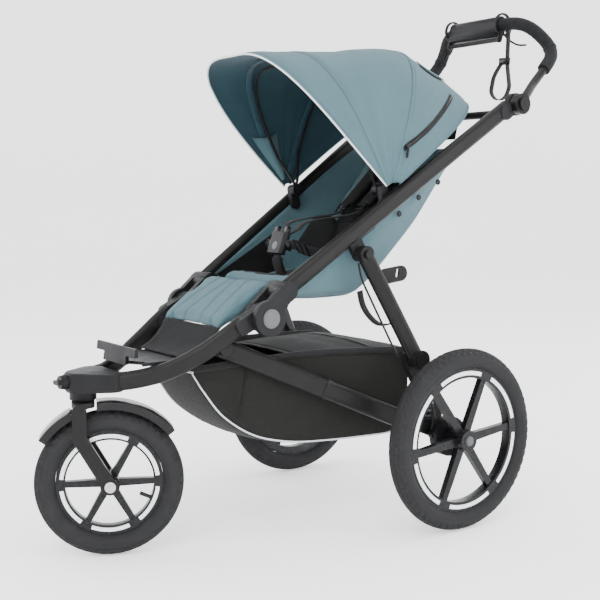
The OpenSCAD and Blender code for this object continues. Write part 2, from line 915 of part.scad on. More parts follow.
place() upper_tube(1);  // upper_tube_left
place() upper_tube(-1);  // upper_tube_right
place() fold_castings();
place() fold_pins();
place() hinge_caps();
place() leg_brackets();
place() handle_hubs();
place() rear_crossbar();
place() canopy_brackets();
place() seat_bottom();
place() seat_sides();
place() lap_harness();
place() buckle();
place() buckle_button();
place() backrest();
place() shoulder_harness();
place() front_tubes();
place() fold_lugs();
place() link_brackets();
place() head_casting();
place() footrest();
place() calf_pad();
place() swivel_lock_knob();
place() fork();
place() fender();
place() front_axle();
place() front_tyre();
place() front_rim();
place() front_reflectors();
place() lower_links();
place() rear_uprights();
place() rear_beam();
place() basket();
place() brake_cable_lower();
place() parking_pedal();
place() rear_legs();
place() leg_straps();
place() brake_cable_upper();
place() rear_arm(1);  // arm_left
place() rear_arm(-1);  // arm_right
place() spring(1);  // spring_left
place() spring(-1);  // spring_right
place() rear_tyre(1);  // rear_tyre_left
place() rear_tyre(-1);  // rear_tyre_right
place() rear_rim(1);  // rear_rim_left
place() rear_rim(-1);  // rear_rim_right
place() rear_reflectors(1);  // rear_reflectors_left
place() rear_reflectors(-1);  // rear_reflectors_right
place() release_button(1);  // release_button_left
place() release_button(-1);  // release_button_right
place() handle_bar();
place() handle_grip();
place() brake_console();
place() brake_lever();
place() wrist_strap();
place() canopy_rear_panel();
place() canopy_rear_bow();
place() canopy_front_panel();
place() canopy_front_bow();
place() canopy_visor();
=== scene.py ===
"""Looks of the three-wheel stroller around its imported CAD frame.

Points are written in millimetres as in the CAD source: x to the child's left, y back from the rear axle, z up.
"""

import math

import bmesh
import bpy
import numpy as np
from mathutils import Matrix, Vector, noise


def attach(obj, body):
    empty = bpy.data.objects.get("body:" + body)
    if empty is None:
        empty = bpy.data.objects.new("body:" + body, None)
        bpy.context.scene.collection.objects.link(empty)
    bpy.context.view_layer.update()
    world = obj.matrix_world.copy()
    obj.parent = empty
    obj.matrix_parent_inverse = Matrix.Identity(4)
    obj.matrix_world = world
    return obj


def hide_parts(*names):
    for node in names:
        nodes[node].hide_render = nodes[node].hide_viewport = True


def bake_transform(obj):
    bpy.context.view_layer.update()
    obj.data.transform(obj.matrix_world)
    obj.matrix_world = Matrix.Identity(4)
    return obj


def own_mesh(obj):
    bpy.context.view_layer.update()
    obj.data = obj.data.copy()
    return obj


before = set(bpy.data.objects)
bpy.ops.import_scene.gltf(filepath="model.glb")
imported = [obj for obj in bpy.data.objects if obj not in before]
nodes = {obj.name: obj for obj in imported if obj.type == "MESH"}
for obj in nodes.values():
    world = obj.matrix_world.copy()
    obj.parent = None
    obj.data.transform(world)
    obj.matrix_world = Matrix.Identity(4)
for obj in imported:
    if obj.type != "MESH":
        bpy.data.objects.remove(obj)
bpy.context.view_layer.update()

AXLE_Y = 213.2  # distance of the rear axle behind the origin


def at(x, y, z):
    """A point of the CAD source, in metres in the row frame."""
    return (x / 1000.0, (y + AXLE_Y) / 1000.0, z / 1000.0)


# ---------------------------------------------------------------- camera

camera = bpy.data.objects.new("camera", bpy.data.cameras.new("camera"))
bpy.context.scene.collection.objects.link(camera)
bpy.context.scene.camera = camera
camera.location = at(1995.2, -1637.6, 740.4)
camera.rotation_mode = "QUATERNION"
camera.rotation_quaternion = Vector((-0.80865, 0.57962, -0.10062)).to_track_quat("-Z", "Y")
camera.data.lens = 64.73
camera.data.sensor_width = 36.0
camera.data.clip_start = 0.05
camera.data.clip_end = 60.0

# ---------------------------------------------------------------- materials


class Graph:
    """A material's node tree, built a line at a time."""

    def __init__(self, name):
        self.mat = bpy.data.materials.new(name)
        self.mat.use_nodes = True
        self.tree = self.mat.node_tree
        self.tree.nodes.clear()
        self.out = self.tree.nodes.new("ShaderNodeOutputMaterial")
        self.bsdf = self.tree.nodes.new("ShaderNodeBsdfPrincipled")
        self.tree.links.new(self.bsdf.outputs[0], self.out.inputs[0])
        self.coords = self.tree.nodes.new("ShaderNodeTexCoord").outputs["Object"]

    def link(self, a, b):
        self.tree.links.new(a, b)

    def node(self, kind, **settings):
        n = self.tree.nodes.new(kind)
        for k, v in settings.items():
            setattr(n, k, v)
        return n

    def noise(self, scale, detail=3.0, rough=0.55, stretch=None):
        n = self.node("ShaderNodeTexNoise")
        n.inputs["Scale"].default_value = scale
        n.inputs["Detail"].default_value = detail
        n.inputs["Roughness"].default_value = rough
        self.link(self.mapped(stretch), n.inputs["Vector"])
        return n.outputs["Fac"]

    def mapped(self, stretch=None, turn=None):
        if stretch is None and turn is None:
            return self.coords
        m = self.node("ShaderNodeMapping")
        if stretch:
            m.inputs["Scale"].default_value = stretch
        if turn:
            m.inputs["Rotation"].default_value = [math.radians(a) for a in turn]
        self.link(self.coords, m.inputs["Vector"])
        return m.outputs[0]

    def wave(self, scale, direction="X", turn=None, distort=0.0):
        n = self.node("ShaderNodeTexWave", wave_type="BANDS", bands_direction=direction)
        n.inputs["Scale"].default_value = scale
        n.inputs["Distortion"].default_value = distort
        n.inputs["Detail"].default_value = 1.0
        self.link(self.mapped(None, turn), n.inputs["Vector"])
        return n.outputs["Fac"]

    def voronoi(self, scale, feature="F1"):
        n = self.node("ShaderNodeTexVoronoi", feature=feature)
        n.inputs["Scale"].default_value = scale
        self.link(self.coords, n.inputs["Vector"])
        return n.outputs["Distance"]

    def math(self, op, a, b=None):
        n = self.node("ShaderNodeMath", operation=op)
        for i, v in enumerate((a, b)):
            if v is None:
                continue
            if isinstance(v, (int, float)):
                n.inputs[i].default_value = v
            else:
                self.link(v, n.inputs[i])
        return n.outputs[0]

    def ramp(self, fac, stops):
        n = self.node("ShaderNodeValToRGB")
        e = n.color_ramp.elements
        while len(e) < len(stops):
            e.new(0.5)
        for el, (p, c) in zip(e, stops):
            el.position = p
            el.color = (*c, 1.0) if len(c) == 3 else c
        self.link(fac, n.inputs[0])
        return n.outputs[0]

    def grey(self, fac, low, high, a=0.0, b=1.0):
        n = self.node("ShaderNodeMapRange")
        n.inputs["From Min"].default_value = a
        n.inputs["From Max"].default_value = b
        n.inputs["To Min"].default_value = low
        n.inputs["To Max"].default_value = high
        self.link(fac, n.inputs["Value"])
        return n.outputs[0]

    def bump(self, height, distance, strength=1.0, before=None):
        n = self.node("ShaderNodeBump")
        n.inputs["Distance"].default_value = distance
        n.inputs["Strength"].default_value = strength
        self.link(height, n.inputs["Height"])
        if before is not None:
            self.link(before, n.inputs["Normal"])
        return n.outputs[0]

    def set(self, **sockets):
        for k, v in sockets.items():
            s = self.bsdf.inputs[k.replace("_", " ")]
            if isinstance(v, (int, float)):
                s.default_value = v
            elif isinstance(v, tuple):
                s.default_value = (*v, 1.0) if len(v) == 3 else v
            else:
                self.link(v, s)
        return self.mat


def tint(c, k):
    return tuple(min(1.0, x * k) for x in c)


def weave(
    name, colour, threads=520.0, depth=0.0003, rough=(0.78, 0.92), sheen=0.10, spread=0.16, turn=None,
    slub=0.5
):
    """Woven cloth: two crossing sets of threads, uneven yarn and soft larger variation."""
    g = Graph(name)
    warp = g.wave(threads, "X", turn)
    weft = g.wave(threads, "Y", turn)
    up = g.wave(threads, "Z", turn)
    over = g.math(
        "ADD", g.math("MULTIPLY", warp, weft), g.math("MULTIPLY", up, g.math("SUBTRACT", 1.0, warp))
    )
    slubs = g.noise(threads * 0.7, 2.0, 0.6, (1.0, 0.35, 1.0))
    cloud = g.noise(14.0, 4.0, 0.6)
    mixed = g.math(
        "ADD", g.math("MULTIPLY", over, 0.25),
        g.math("ADD", g.math("MULTIPLY", slubs, slub), g.math("MULTIPLY", cloud, 0.45))
    )
    base = g.ramp(
        mixed, [(0.25, tint(colour, 1.0 - spread)), (0.55, colour), (0.9, tint(colour, 1.0 + spread))]
    )
    height = g.math("ADD", over, g.math("MULTIPLY", slubs, 0.7))
    folds = g.noise(55.0, 2.0, 0.5)
    first = g.bump(folds, 0.0012, 0.35)
    g.set(
        Base_Color=base,
        Roughness=g.grey(slubs, rough[0], rough[1], 0.3, 0.7),
        Normal=g.bump(height, depth, 0.8, first),
        Sheen_Weight=sheen,
        Sheen_Roughness=0.45,
        Specular_IOR_Level=0.16,
    )
    return g.mat


def ribbed(name, colour, ribs=430.0, direction="DIAGONAL"):
    """Webbing: close ribs with a slight sheen."""
    g = Graph(name)
    rib = g.wave(ribs, direction)
    cross = g.wave(ribs * 0.6, "Z")
    dust = g.noise(60.0, 4.0)
    base = g.ramp(
        g.math("ADD", g.math("MULTIPLY", rib, 0.5), g.math("MULTIPLY", dust, 0.5)),
        [(0.2, tint(colour, 0.6)), (0.8, tint(colour, 1.5))]
    )
    g.set(
        Base_Color=base, Roughness=g.grey(dust, 0.6, 0.82),
        Normal=g.bump(g.math("ADD", rib, g.math("MULTIPLY", cross, 0.4)), 0.0004, 0.8),
        Sheen_Weight=0.04, Specular_IOR_Level=0.2
    )
    return g.mat


def mesh_cloth(name, colour, holes=420.0):
    """Air mesh: a net of small dark holes in a knitted surface."""
    g = Graph(name)
    cell = g.voronoi(holes)
    hole = g.ramp(cell, [(0.18, (0.25, 0.25, 0.25)), (0.42, (1.0, 1.0, 1.0))])
    cloud = g.noise(22.0, 3.0)
    mix = g.node("ShaderNodeMixRGB", blend_type="MULTIPLY")
    mix.inputs[0].default_value = 0.85
    g.link(g.ramp(cloud, [(0.3, tint(colour, 0.8)), (0.7, tint(colour, 1.25))]), mix.inputs[1])
    g.link(hole, mix.inputs[2])
    g.set(
        Base_Color=mix.outputs[0], Roughness=0.85, Normal=g.bump(cell, 0.0007, 0.7), Sheen_Weight=0.05,
        Specular_IOR_Level=0.15
    )
    return g.mat


def plastic(name, colour, rough=(0.42, 0.58), grain=1500.0, depth=0.00012, coat=0.0):
    """Moulded plastic: fine spark texture, faint flow marks and rubbed patches."""
    g = Graph(name)
    spark = g.noise(grain, 2.0, 0.7)
    flow = g.noise(9.0, 4.0, 0.6, (1.0, 1.0, 0.4))
    rub = g.noise(38.0, 5.0, 0.7)
    base = g.ramp(flow, [(0.3, tint(colour, 0.82)), (0.7, tint(colour, 1.2))])
    g.set(
        Base_Color=base, Roughness=g.grey(rub, rough[0], rough[1], 0.3, 0.7),
        Normal=g.bump(spark, depth, 0.6), Coat_Weight=coat * 0.3, Coat_Roughness=0.2,
        Specular_IOR_Level=0.14
    )
    return g.mat


def painted(name, colour, rough=(0.3, 0.44), metal=0.0):
    """Satin coated aluminium: orange peel, a little dust and handled spots."""
    g = Graph(name)
    peel = g.noise(420.0, 2.0, 0.5)
    dust = g.noise(30.0, 6.0, 0.65)
    long = g.noise(5.0, 3.0, 0.5, (1.0, 0.3, 0.3))
    base = g.ramp(
        g.math("ADD", g.math("MULTIPLY", long, 0.6), g.math("MULTIPLY", dust, 0.4)),
        [(0.3, tint(colour, 0.85)), (0.7, tint(colour, 1.22))]
    )
    g.set(
        Base_Color=base, Metallic=metal, Roughness=g.grey(dust, rough[0], rough[1], 0.3, 0.72),
        Normal=g.bump(peel, 0.0001, 0.35), Coat_Weight=0.03, Coat_Roughness=0.3, Specular_IOR_Level=0.13
    )
    return g.mat


def metal(name, colour, rough=(0.22, 0.4), direction="X"):
    """Brushed or plated steel."""
    g = Graph(name)
    brush = g.noise(700.0, 3.0, 0.6, (1.0, 0.06, 1.0) if direction == "X" else (0.06, 1.0, 1.0))
    spot = g.noise(90.0, 4.0)
    g.set(
        Base_Color=g.ramp(spot, [(0.3, tint(colour, 0.8)), (0.7, tint(colour, 1.15))]), Metallic=1.0,
        Roughness=g.grey(brush, rough[0], rough[1], 0.3, 0.7), Normal=g.bump(brush, 0.00005, 0.4)
    )
    return g.mat


def rubber(name, colour, rough=(0.68, 0.86)):
    """Tyre rubber: dull, dusty in the hollows, with fine moulding lines."""
    g = Graph(name)
    dust = g.noise(26.0, 6.0, 0.7)
    fine = g.noise(900.0, 2.0, 0.6)
    base = g.ramp(dust, [(0.28, tint(colour, 0.78)), (0.55, colour), (0.8, tint(colour, 1.45))])
    g.set(
        Base_Color=base, Roughness=g.grey(dust, rough[0], rough[1], 0.25, 0.75),
        Normal=g.bump(fine, 0.00012, 0.6), Specular_IOR_Level=0.12
    )
    return g.mat


def foam(name, colour):
    g = Graph(name)
    cell = g.voronoi(900.0)
    cloud = g.noise(45.0, 4.0)
    g.set(
        Base_Color=g.ramp(cloud, [(0.3, tint(colour, 0.75)), (0.7, tint(colour, 1.3))]),
        Roughness=g.grey(cloud, 0.78, 0.92), Normal=g.bump(cell, 0.0003, 0.7), Sheen_Weight=0.03,
        Specular_IOR_Level=0.15
    )
    return g.mat


def prismatic(name):
    """Silver reflective film: small hexagonal cells under a clear skin."""
    g = Graph(name)
    cell = g.voronoi(330.0)
    edge = g.voronoi(330.0, "DISTANCE_TO_EDGE")
    base = g.ramp(cell, [(0.1, (0.62, 0.64, 0.66)), (0.8, (0.92, 0.93, 0.94))])
    g.set(
        Base_Color=base, Metallic=0.55, Roughness=g.grey(edge, 0.22, 0.42, 0.0, 0.3),
        Normal=g.bump(edge, 0.0003, 0.5), Coat_Weight=0.6, Coat_Roughness=0.12
    )
    return g.mat


TEAL = (0.064, 0.122, 0.141)
M = {
    "frame": painted("frame_paint", (0.0075, 0.0072, 0.0072)),
    "casting": plastic("casting_nylon", (0.0085, 0.0085, 0.0095), (0.4, 0.55)),
    "plastic": plastic("black_plastic", (0.0065, 0.0065, 0.0075), (0.34, 0.5)),
    "gloss": plastic("gloss_plastic", (0.005, 0.005, 0.0055), (0.14, 0.28), 500.0, 0.00004, 0.5),
    "rim": plastic("rim_nylon", (0.0065, 0.0065, 0.0075), (0.2, 0.36), 800.0, 0.00006, 0.35),
    "grey": plastic("grey_badge", (0.085, 0.088, 0.093), (0.3, 0.42), 900.0, 0.00006, 0.1),
    "steel": metal("zinc_steel", (0.46, 0.46, 0.47)),
    "dark_steel": metal("dark_steel", (0.12, 0.12, 0.125), (0.35, 0.5)),
    "tyre": rubber("tyre_rubber", (0.019, 0.019, 0.020)),
    "silver": prismatic("reflective_film"),
    "teal": weave("teal_cloth", TEAL),
    # painted shade: a darker, bluer copy of the teal cloth for the canopy's inner skin and bow sleeves, standing
    # in for the shade under the canopy
    "teal_shaded": weave("teal_painted_shade_cloth", (0.018, 0.050, 0.066), 520.0, 0.0002, (0.82, 0.94), 0.15),
    "basket": weave("basket_cloth", (0.0085, 0.0085, 0.0075), 420.0, 0.00035, (0.7, 0.88), 0.04, 0.3),
    "piping": weave("pale_piping", (0.62, 0.65, 0.66), 700.0, 0.0002, (0.6, 0.8), 0.1, 0.1),
    "mesh": mesh_cloth("air_mesh", (0.0045, 0.0045, 0.005)),
    "webbing": ribbed("black_webbing", (0.006, 0.006, 0.0065)),
    "thread": weave("pale_thread", (0.28, 0.36, 0.39), 900.0, 0.0002, (0.6, 0.8), 0.1, 0.1),
    "dark_thread": weave("dark_thread", (0.03, 0.045, 0.052), 900.0, 0.0002, (0.6, 0.8), 0.1, 0.1),
    "foam": foam("grip_foam", (0.009, 0.009, 0.010)),
    "sheath": plastic("cable_sheath", (0.006, 0.006, 0.0065), (0.28, 0.42), 600.0, 0.00005, 0.2),
    "rubber": rubber("soft_rubber", (0.009, 0.009, 0.0095), (0.55, 0.75)),
}

# ---------------------------------------------------------------- mesh helpers


def add(name, verts, faces, mats, smooth=True, face_mats=None):
    """A mesh object in the row frame; face_mats picks a material for each face."""
    me = bpy.data.meshes.new(name)
    me.from_pydata([tuple(v) for v in verts], [], [tuple(f) for f in faces])
    me.validate()
    names = [mats] if isinstance(mats, str) else list(mats)
    for m in names:
        me.materials.append(M[m])
    if face_mats is not None:
        me.polygons.foreach_set("material_index", list(face_mats))
    me.polygons.foreach_set("use_smooth", [smooth] * len(me.polygons))
    me.update()
    o = bpy.data.objects.new(name, me)
    bpy.context.scene.collection.objects.link(o)
    return o


def recalc(o):
    bm = bmesh.new()
    bm.from_mesh(o.data)
    bmesh.ops.recalc_face_normals(bm, faces=bm.faces)
    bm.to_mesh(o.data)
    bm.free()
    return o


def two_skins(rows, cols):
    """Faces of a cloth made of two grids of points, outer skin first, joined round their edges."""
    n, base = cols + 1, (rows + 1) * (cols + 1)
    faces = []
    for i in range(rows):
        for j in range(cols):
            a = i * n + j
            faces += [
                (a, a + 1, a + n + 1, a + n), (base + a, base + a + n, base + a + n + 1, base + a + 1)
            ]
    edge = [(j + 1, j) for j in range(cols)] + [(rows * n + j, rows * n + j + 1) for j in range(cols)]
    edge += [(i * n, (i + 1) * n) for i in range(rows)]
    edge += [((i + 1) * n + cols, i * n + cols) for i in range(rows)]
    return faces + [(a, b, base + b, base + a) for a, b in edge]


def half_area(o):
    """Area of one skin of a cloth that has two."""
    return sum(f.area for f in o.data.polygons) / 2


def soften(o, width=0.0012, segments=2, angle=32):
    """Small rounded edges on a hard piece."""
    b = o.modifiers.new("edges", "BEVEL")
    b.width = width
    b.segments = segments
    b.limit_method = "ANGLE"
    b.angle_limit = math.radians(angle)
    b.harden_normals = False
    return o


def curve(route, steps=4):
    """Smooth points through a route of vectors."""
    out = []
    n = len(route)
    for i in range(n - 1):
        a, b, c, d = route[max(i - 1, 0)], route[i], route[i + 1], route[min(i + 2, n - 1)]
        for k in range(steps):
            t = k / steps
            square, cube = 2 * a - 5 * b + 4 * c - d, 3 * b - a - 3 * c + d
            out.append(0.5 * (2 * b + (c - a) * t + square * t * t + cube * t ** 3))
    out.append(route[-1].copy())
    return out


def frames(path, across):
    """At each point of a path: its direction, the side that lies along `across`, and the third."""
    out = []
    for i, p in enumerate(path):
        t = (path[min(i + 1, len(path) - 1)] - path[max(i - 1, 0)]).normalized()
        side = Vector(across)
        side = (side - t * side.dot(t)).normalized()
        out.append((p, t, side, t.cross(side).normalized()))
    return out


def loft(name, path, section, across, mats, closed_ends=True, scale=None, smooth=True):
    """Sweeps a closed section of (along across, along third) points in metres along a path."""
    verts, faces = [], []
    n = len(section)
    rows = frames(path, across)
    for i, (p, t, s, u) in enumerate(rows):
        k = scale(i / (len(rows) - 1)) if scale else 1.0
        verts += [p + s * (a * k) + u * (b * k) for a, b in section]
    for i in range(len(rows) - 1):
        for j in range(n):
            a, b = i * n + j, i * n + (j + 1) % n
            faces.append((a, b, b + n, a + n))
    if closed_ends:
        faces.append(tuple(range(n - 1, -1, -1)))
        faces.append(tuple((len(rows) - 1) * n + j for j in range(n)))
    return recalc(add(name, verts, faces, mats, smooth))


def round_section(r, n=12):
    return [(r * math.cos(2 * math.pi * k / n), r * math.sin(2 * math.pi * k / n)) for k in range(n)]


def tube(name, route, r, mats, steps=4, across=(0.3, 0.2, 1.0), n=12, smooth_route=True, scale=None):
    path = curve(route, steps) if smooth_route else route
    return loft(name, path, round_section(r, n), across, mats, scale=scale)


def strap_section(width, thick):
    """Flat webbing with slightly rounded edges."""
    w, h = width / 2, thick / 2
    return [
        (-w + h * 0.6, -h), (w - h * 0.6, -h), (w, -h * 0.35), (w, h * 0.35), (w - h * 0.6, h),
        (-w + h * 0.6, h), (-w, h * 0.35), (-w, -h * 0.35)
    ]


def strap(name, route, width, thick, across, mats="webbing", steps=5):
    return loft(name, curve(route, steps), strap_section(width, thick), across, mats)


def stitches(name, path, normal, mats="thread", length=0.0034, gap=0.0022, r=0.0004):
    """A row of sewn stitches along a line of points; normal gives the side that they lie on."""
    verts, faces = [], []
    lengths = [0.0]
    for a, b in zip(path, path[1:]):
        lengths.append(lengths[-1] + (b - a).length)
    total = lengths[-1]

    def point(s):
        s = min(max(s, 0.0), total)
        i = min(max(np.searchsorted(lengths, s) - 1, 0), len(path) - 2)
        d = lengths[i + 1] - lengths[i]
        return path[i].lerp(path[i + 1], 0 if d < 1e-9 else (s - lengths[i]) / d)

    s = gap
    up = Vector(normal).normalized()
    while s + length < total:
        a, b = point(s), point(s + length)
        t = (b - a).normalized()
        side = t.cross(up).normalized() * r
        lift = up * r
        base = len(verts)
        for p, k in ((a, 0.25), (a.lerp(b, 0.25), 1.0), (a.lerp(b, 0.75), 1.0), (b, 0.25)):
            verts += [p - side * 1.3, p + lift * 1.5 * k, p + side * 1.3]
        for i in range(3):
            q = base + i * 3
            faces += [(q, q + 3, q + 4, q + 1), (q + 1, q + 4, q + 5, q + 2)]
        s += length + gap
    return add(name, verts, faces, mats)


def turned(name, profile, centre, axis, mats, steps=64, close=True):
    """Lathes a profile of (along axis, radius) points in metres about a centre."""
    ax = Vector(axis).normalized()
    u = Vector((0, 0, 1)) if abs(ax.z) < 0.9 else Vector((1, 0, 0))
    u = (u - ax * u.dot(ax)).normalized()
    v = ax.cross(u)
    verts, faces = [], []
    n = len(profile)
    for i in range(steps):
        a = 2 * math.pi * i / steps
        d = u * math.cos(a) + v * math.sin(a)
        verts += [Vector(centre) + ax * h + d * r for h, r in profile]
    for i in range(steps):
        for j in range(n if close else n - 1):
            a, b = i * n + j, i * n + (j + 1) % n
            c, d = ((i + 1) % steps) * n + (j + 1) % n, ((i + 1) % steps) * n + j
            faces.append((a, b, c, d))
    return recalc(add(name, verts, faces, mats))


def paint(node, *mats, edges=0.0009, angle=32):
    """A carried-over CAD node: its own shape, small rounded edges and a detailed finish."""
    o = nodes[node]
    o.data.materials.clear()
    for m in mats:
        o.data.materials.append(M[m])
    if edges:
        w = o.modifiers.new("join", "WELD")
        w.merge_threshold = 0.00002
        soften(o, edges, 2, angle)
    return o

# ---------------------------------------------------------------- carried-over CAD nodes

for name in (
    "upper_tube_left", "upper_tube_right", "front_tubes", "lower_links", "rear_legs", "fork",
    "rear_crossbar", "rear_beam"
):
    paint(name, "frame")
for name in (
    "fold_castings", "fold_lugs", "leg_brackets", "link_brackets", "head_casting", "rear_uprights",
    "handle_hubs", "canopy_brackets"
):
    paint(name, "casting", edges=0.0014)
for name in (
    "footrest", "swivel_lock_knob", "parking_pedal", "arm_left", "arm_right", "brake_console",
    "brake_lever", "buckle"
):
    paint(name, "plastic", edges=0.0014)
for name in ("fold_pins", "front_axle"):
    paint(name, "steel", edges=0.0005)
for name in ("hinge_caps", "release_button_left", "release_button_right", "buckle_button"):
    paint(name, "grey", edges=0.0007)
for name in ("front_rim", "rear_rim_left", "rear_rim_right"):
    paint(name, "rim", edges=0.0012)
for name in ("front_reflectors", "rear_reflectors_left", "rear_reflectors_right"):
    paint(name, "silver", edges=0.0004)
paint("handle_bar", "frame", edges=0)
paint("fender", "gloss", edges=0.0012)
for name in ("brake_cable_upper", "brake_cable_lower"):
    paint(name, "sheath", edges=0)

# ---------------------------------------------------------------- canopy

CANOPY_Y, CANOPY_Z = -108.0, 744.0
LOW_TURN, REAR_TURN, FRONT_TURN, EDGE_TURN = 36.0, 72.0, 119.0, 138.5
RADIUS = [
    (30, 366), (36, 359), (45, 346), (54, 336), (62, 331), (72, 332), (84, 320), (97, 311), (108, 318),
    (119, 338), (126, 362), (133, 395), (138.5, 411), (146, 425)
]


def canopy_radius(turn):
    xs, ys = zip(*RADIUS)
    i = min(max(int(np.searchsorted(xs, turn)) - 1, 0), len(xs) - 2)
    t = (turn - xs[i]) / (xs[i + 1] - xs[i])
    p0, p1, p2, p3 = ys[max(i - 1, 0)], ys[i], ys[i + 1], ys[min(i + 2, len(ys) - 1)]
    return 0.5 * (
        2 * p1 + (p2 - p0) * t + (2 * p0 - 5 * p1 + 4 * p2 - p3) * t * t
        + (3 * p1 - p0 - 3 * p2 + p3) * t ** 3
    )


def arch_table(steps=720):
    """Angles of the arch that are evenly spaced along its length."""
    a = np.linspace(-89.85, 89.85, steps)
    s, c = np.sin(np.radians(a)), np.cos(np.radians(a))
    x, r = 204 * np.sign(s) * np.abs(s) ** 0.52, 340 * c ** 0.52
    d = np.concatenate([[0], np.cumsum(np.hypot(np.diff(x), np.diff(r)))])
    return a, d / d[-1]


ARCH_ANGLES, ARCH_RUN = arch_table()


def arch_share(turn):
    return (turn - LOW_TURN) / (EDGE_TURN - LOW_TURN)


def canopy_at(turn, run, out=0.0):
    """A point of the canopy's cloth in metres; run goes from 0 on the right to 1 on the left."""
    phi = math.radians(float(np.interp(run, ARCH_RUN, ARCH_ANGLES)))
    s, c = math.sin(phi), math.cos(phi)
    power = 0.46 + 0.16 * arch_share(turn)
    x = (209.0 - 14.0 * arch_share(turn) + out) * math.copysign(abs(s) ** power, s)
    r = (canopy_radius(turn) + out) * c ** power
    p = Vector((x, CANOPY_Y + r * math.cos(math.radians(turn)), CANOPY_Z + r * math.sin(math.radians(turn))))
    q = p / 1000.0
    reach = min(1.0, r / 200.0) * min(1.0, r / 90.0)
    fold = noise.noise(Vector((q.x * 5.0, turn * 0.055, r * 0.004))) * 4.2
    fold += noise.noise(Vector((q.x * 13.0 + 4.0, turn * 0.10, r * 0.010))) * 1.7
    pull = noise.noise(Vector((turn * 0.16, math.copysign(1.0, s) * 3.0, r * 0.0012))) * 3.0
    pull *= max(0.0, 1 - r / 330.0)
    k = (fold * reach + pull) * (
        0.35
        if min(
            abs(turn - REAR_TURN), abs(turn - FRONT_TURN), abs(turn - EDGE_TURN), abs(turn - LOW_TURN)
        ) < 2.5
        else 1.0
    )
    side = abs(s) ** 3
    angle = math.radians(turn)
    direction = Vector((math.copysign(side, s), (1 - side) * math.cos(angle), (1 - side) * math.sin(angle))).normalized()
    p = p + direction * k
    return Vector(at(*p))


def run_for(turn, r):
    """Where along the left side of the arch a point is that far from the canopy's pivot."""
    c = min(1.0, r / canopy_radius(turn)) ** (1 / (0.46 + 0.16 * arch_share(turn)))
    return float(np.interp(math.degrees(math.acos(c)), ARCH_ANGLES, ARCH_RUN))


def fan_blend(o, a, b, low, high):
    """Bakes the piece's placement into its mesh."""
    mid = 0.5
    canopy_at(low, mid)
    canopy_at(high, mid)
    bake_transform(o)
    return o


def cloth_grid(
    name, low, high, rows, cols, run_span=(0.0, 1.0), edge=None, thick=1.8,
    mats=("teal", "teal_shaded"), puff=None
):
    """Two skins of cloth over part of the canopy, closed at the edges.

    edge(run) moves the front edge's turn.
    """
    verts, faces, kinds = [], [], []
    for skin in (0, 1):
        for i in range(rows + 1):
            for j in range(cols + 1):
                run = run_span[0] + (run_span[1] - run_span[0]) * j / cols
                top = high + (edge(run) if edge else 0.0)
                turn = low + (top - low) * i / rows
                out = -thick * skin + (puff(i / rows, run) if puff and skin == 0 else 0.0)
                verts.append(canopy_at(turn, run, out))
    n = cols + 1
    base = (rows + 1) * n
    for i in range(rows):
        for j in range(cols):
            a = i * n + j
            faces.append((a, a + 1, a + n + 1, a + n))
            kinds.append(0)
            faces.append((base + a, base + a + n, base + a + n + 1, base + a + 1))
            kinds.append(1)
    rim = [(i * n, (i + 1) * n) for i in range(rows)] + [
        ((i + 1) * n + cols, i * n + cols) for i in range(rows)
    ]
    rim += [(j + 1, j) for j in range(cols)] + [(rows * n + j, rows * n + j + 1) for j in range(cols)]
    for a, b in rim:
        faces.append((a, b, base + b, base + a))
        kinds.append(0)
    return recalc(add(name, verts, faces, mats, True, kinds))


def brim(run):
    """The front edge draws back a little over the child's head."""
    return -3.6 * math.sin(math.pi * run) ** 1.6


rear_cloth = cloth_grid("canopy_rear_cloth", LOW_TURN, REAR_TURN, 22, 92)
front_cloth = cloth_grid("canopy_front_cloth", REAR_TURN, FRONT_TURN, 28, 92)
visor_cloth = cloth_grid("canopy_visor_cloth", FRONT_TURN, EDGE_TURN, 16, 92, edge=brim)
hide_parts("canopy_rear_panel")
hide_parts("canopy_front_panel")
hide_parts("canopy_visor")
fan_blend(rear_cloth, "upper_frame", "canopy_rear", LOW_TURN, REAR_TURN)
fan_blend(front_cloth, "canopy_rear", "canopy_front", REAR_TURN, FRONT_TURN)
fan_blend(visor_cloth, "canopy_front", "canopy_visor", FRONT_TURN, EDGE_TURN)
for cloth, size in ((rear_cloth, (0.97, 0.23)), (front_cloth, (0.96, 0.29)), (visor_cloth, (1.08, 0.18))):
    cut = sum(f.area for f in cloth.data.polygons if f.material_index == 1)


def along_arch(turn, out, span=(0.0, 1.0), steps=120, edge=None):
    return [
        canopy_at(
            turn + (edge(span[0] + (span[1] - span[0]) * k / steps) if edge else 0.0),
            span[0] + (span[1] - span[0]) * k / steps, out
        )
        for k in range(steps + 1)
    ]


def arch_loft(name, turn, out, r_mm, mats, body, span=(0.0, 1.0), edge=None, flat=1.0):
    section = [
        (r_mm / 1000 * flat * math.cos(2 * math.pi * k / 10), r_mm / 1000 * math.sin(2 * math.pi * k / 10))
        for k in range(10)
    ]
    path = along_arch(turn, out, span, 130, edge)
    t = math.radians(turn)
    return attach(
        loft(name, path, section, (0, -math.sin(t), math.cos(t)), mats), body
    )


arch_loft("canopy_front_piping", EDGE_TURN, -0.6, 2.0, "piping", "canopy_visor", edge=brim)
arch_loft("canopy_rear_hem", LOW_TURN, -0.8, 2.4, "teal", "upper_frame")
for tag, turn, body in (("rear", REAR_TURN, "canopy_rear"), ("front", FRONT_TURN, "canopy_front")):
    arch_loft("canopy_%s_seam" % tag, turn, 0.0, 1.5, "teal", body, flat=2.6)
    arch_loft(
        "canopy_%s_sleeve" % tag, turn, -5.2, 4.4, "teal_shaded", body,
        span=(0.09, 0.91) if tag == "front" else (0.03, 0.97), flat=2.4
    )
    for side in (-3.4, 3.4):
        path = along_arch(turn + side * 0.30, 0.55)
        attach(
            stitches(
                "canopy_%s_stitch_%s" % (tag, "a" if side < 0 else "b"), path,
                (0, math.cos(math.radians(turn)), math.sin(math.radians(turn))), "dark_thread"
            ),
            body
        )
hem_path = along_arch(EDGE_TURN - 1.6, 0.5, edge=brim)
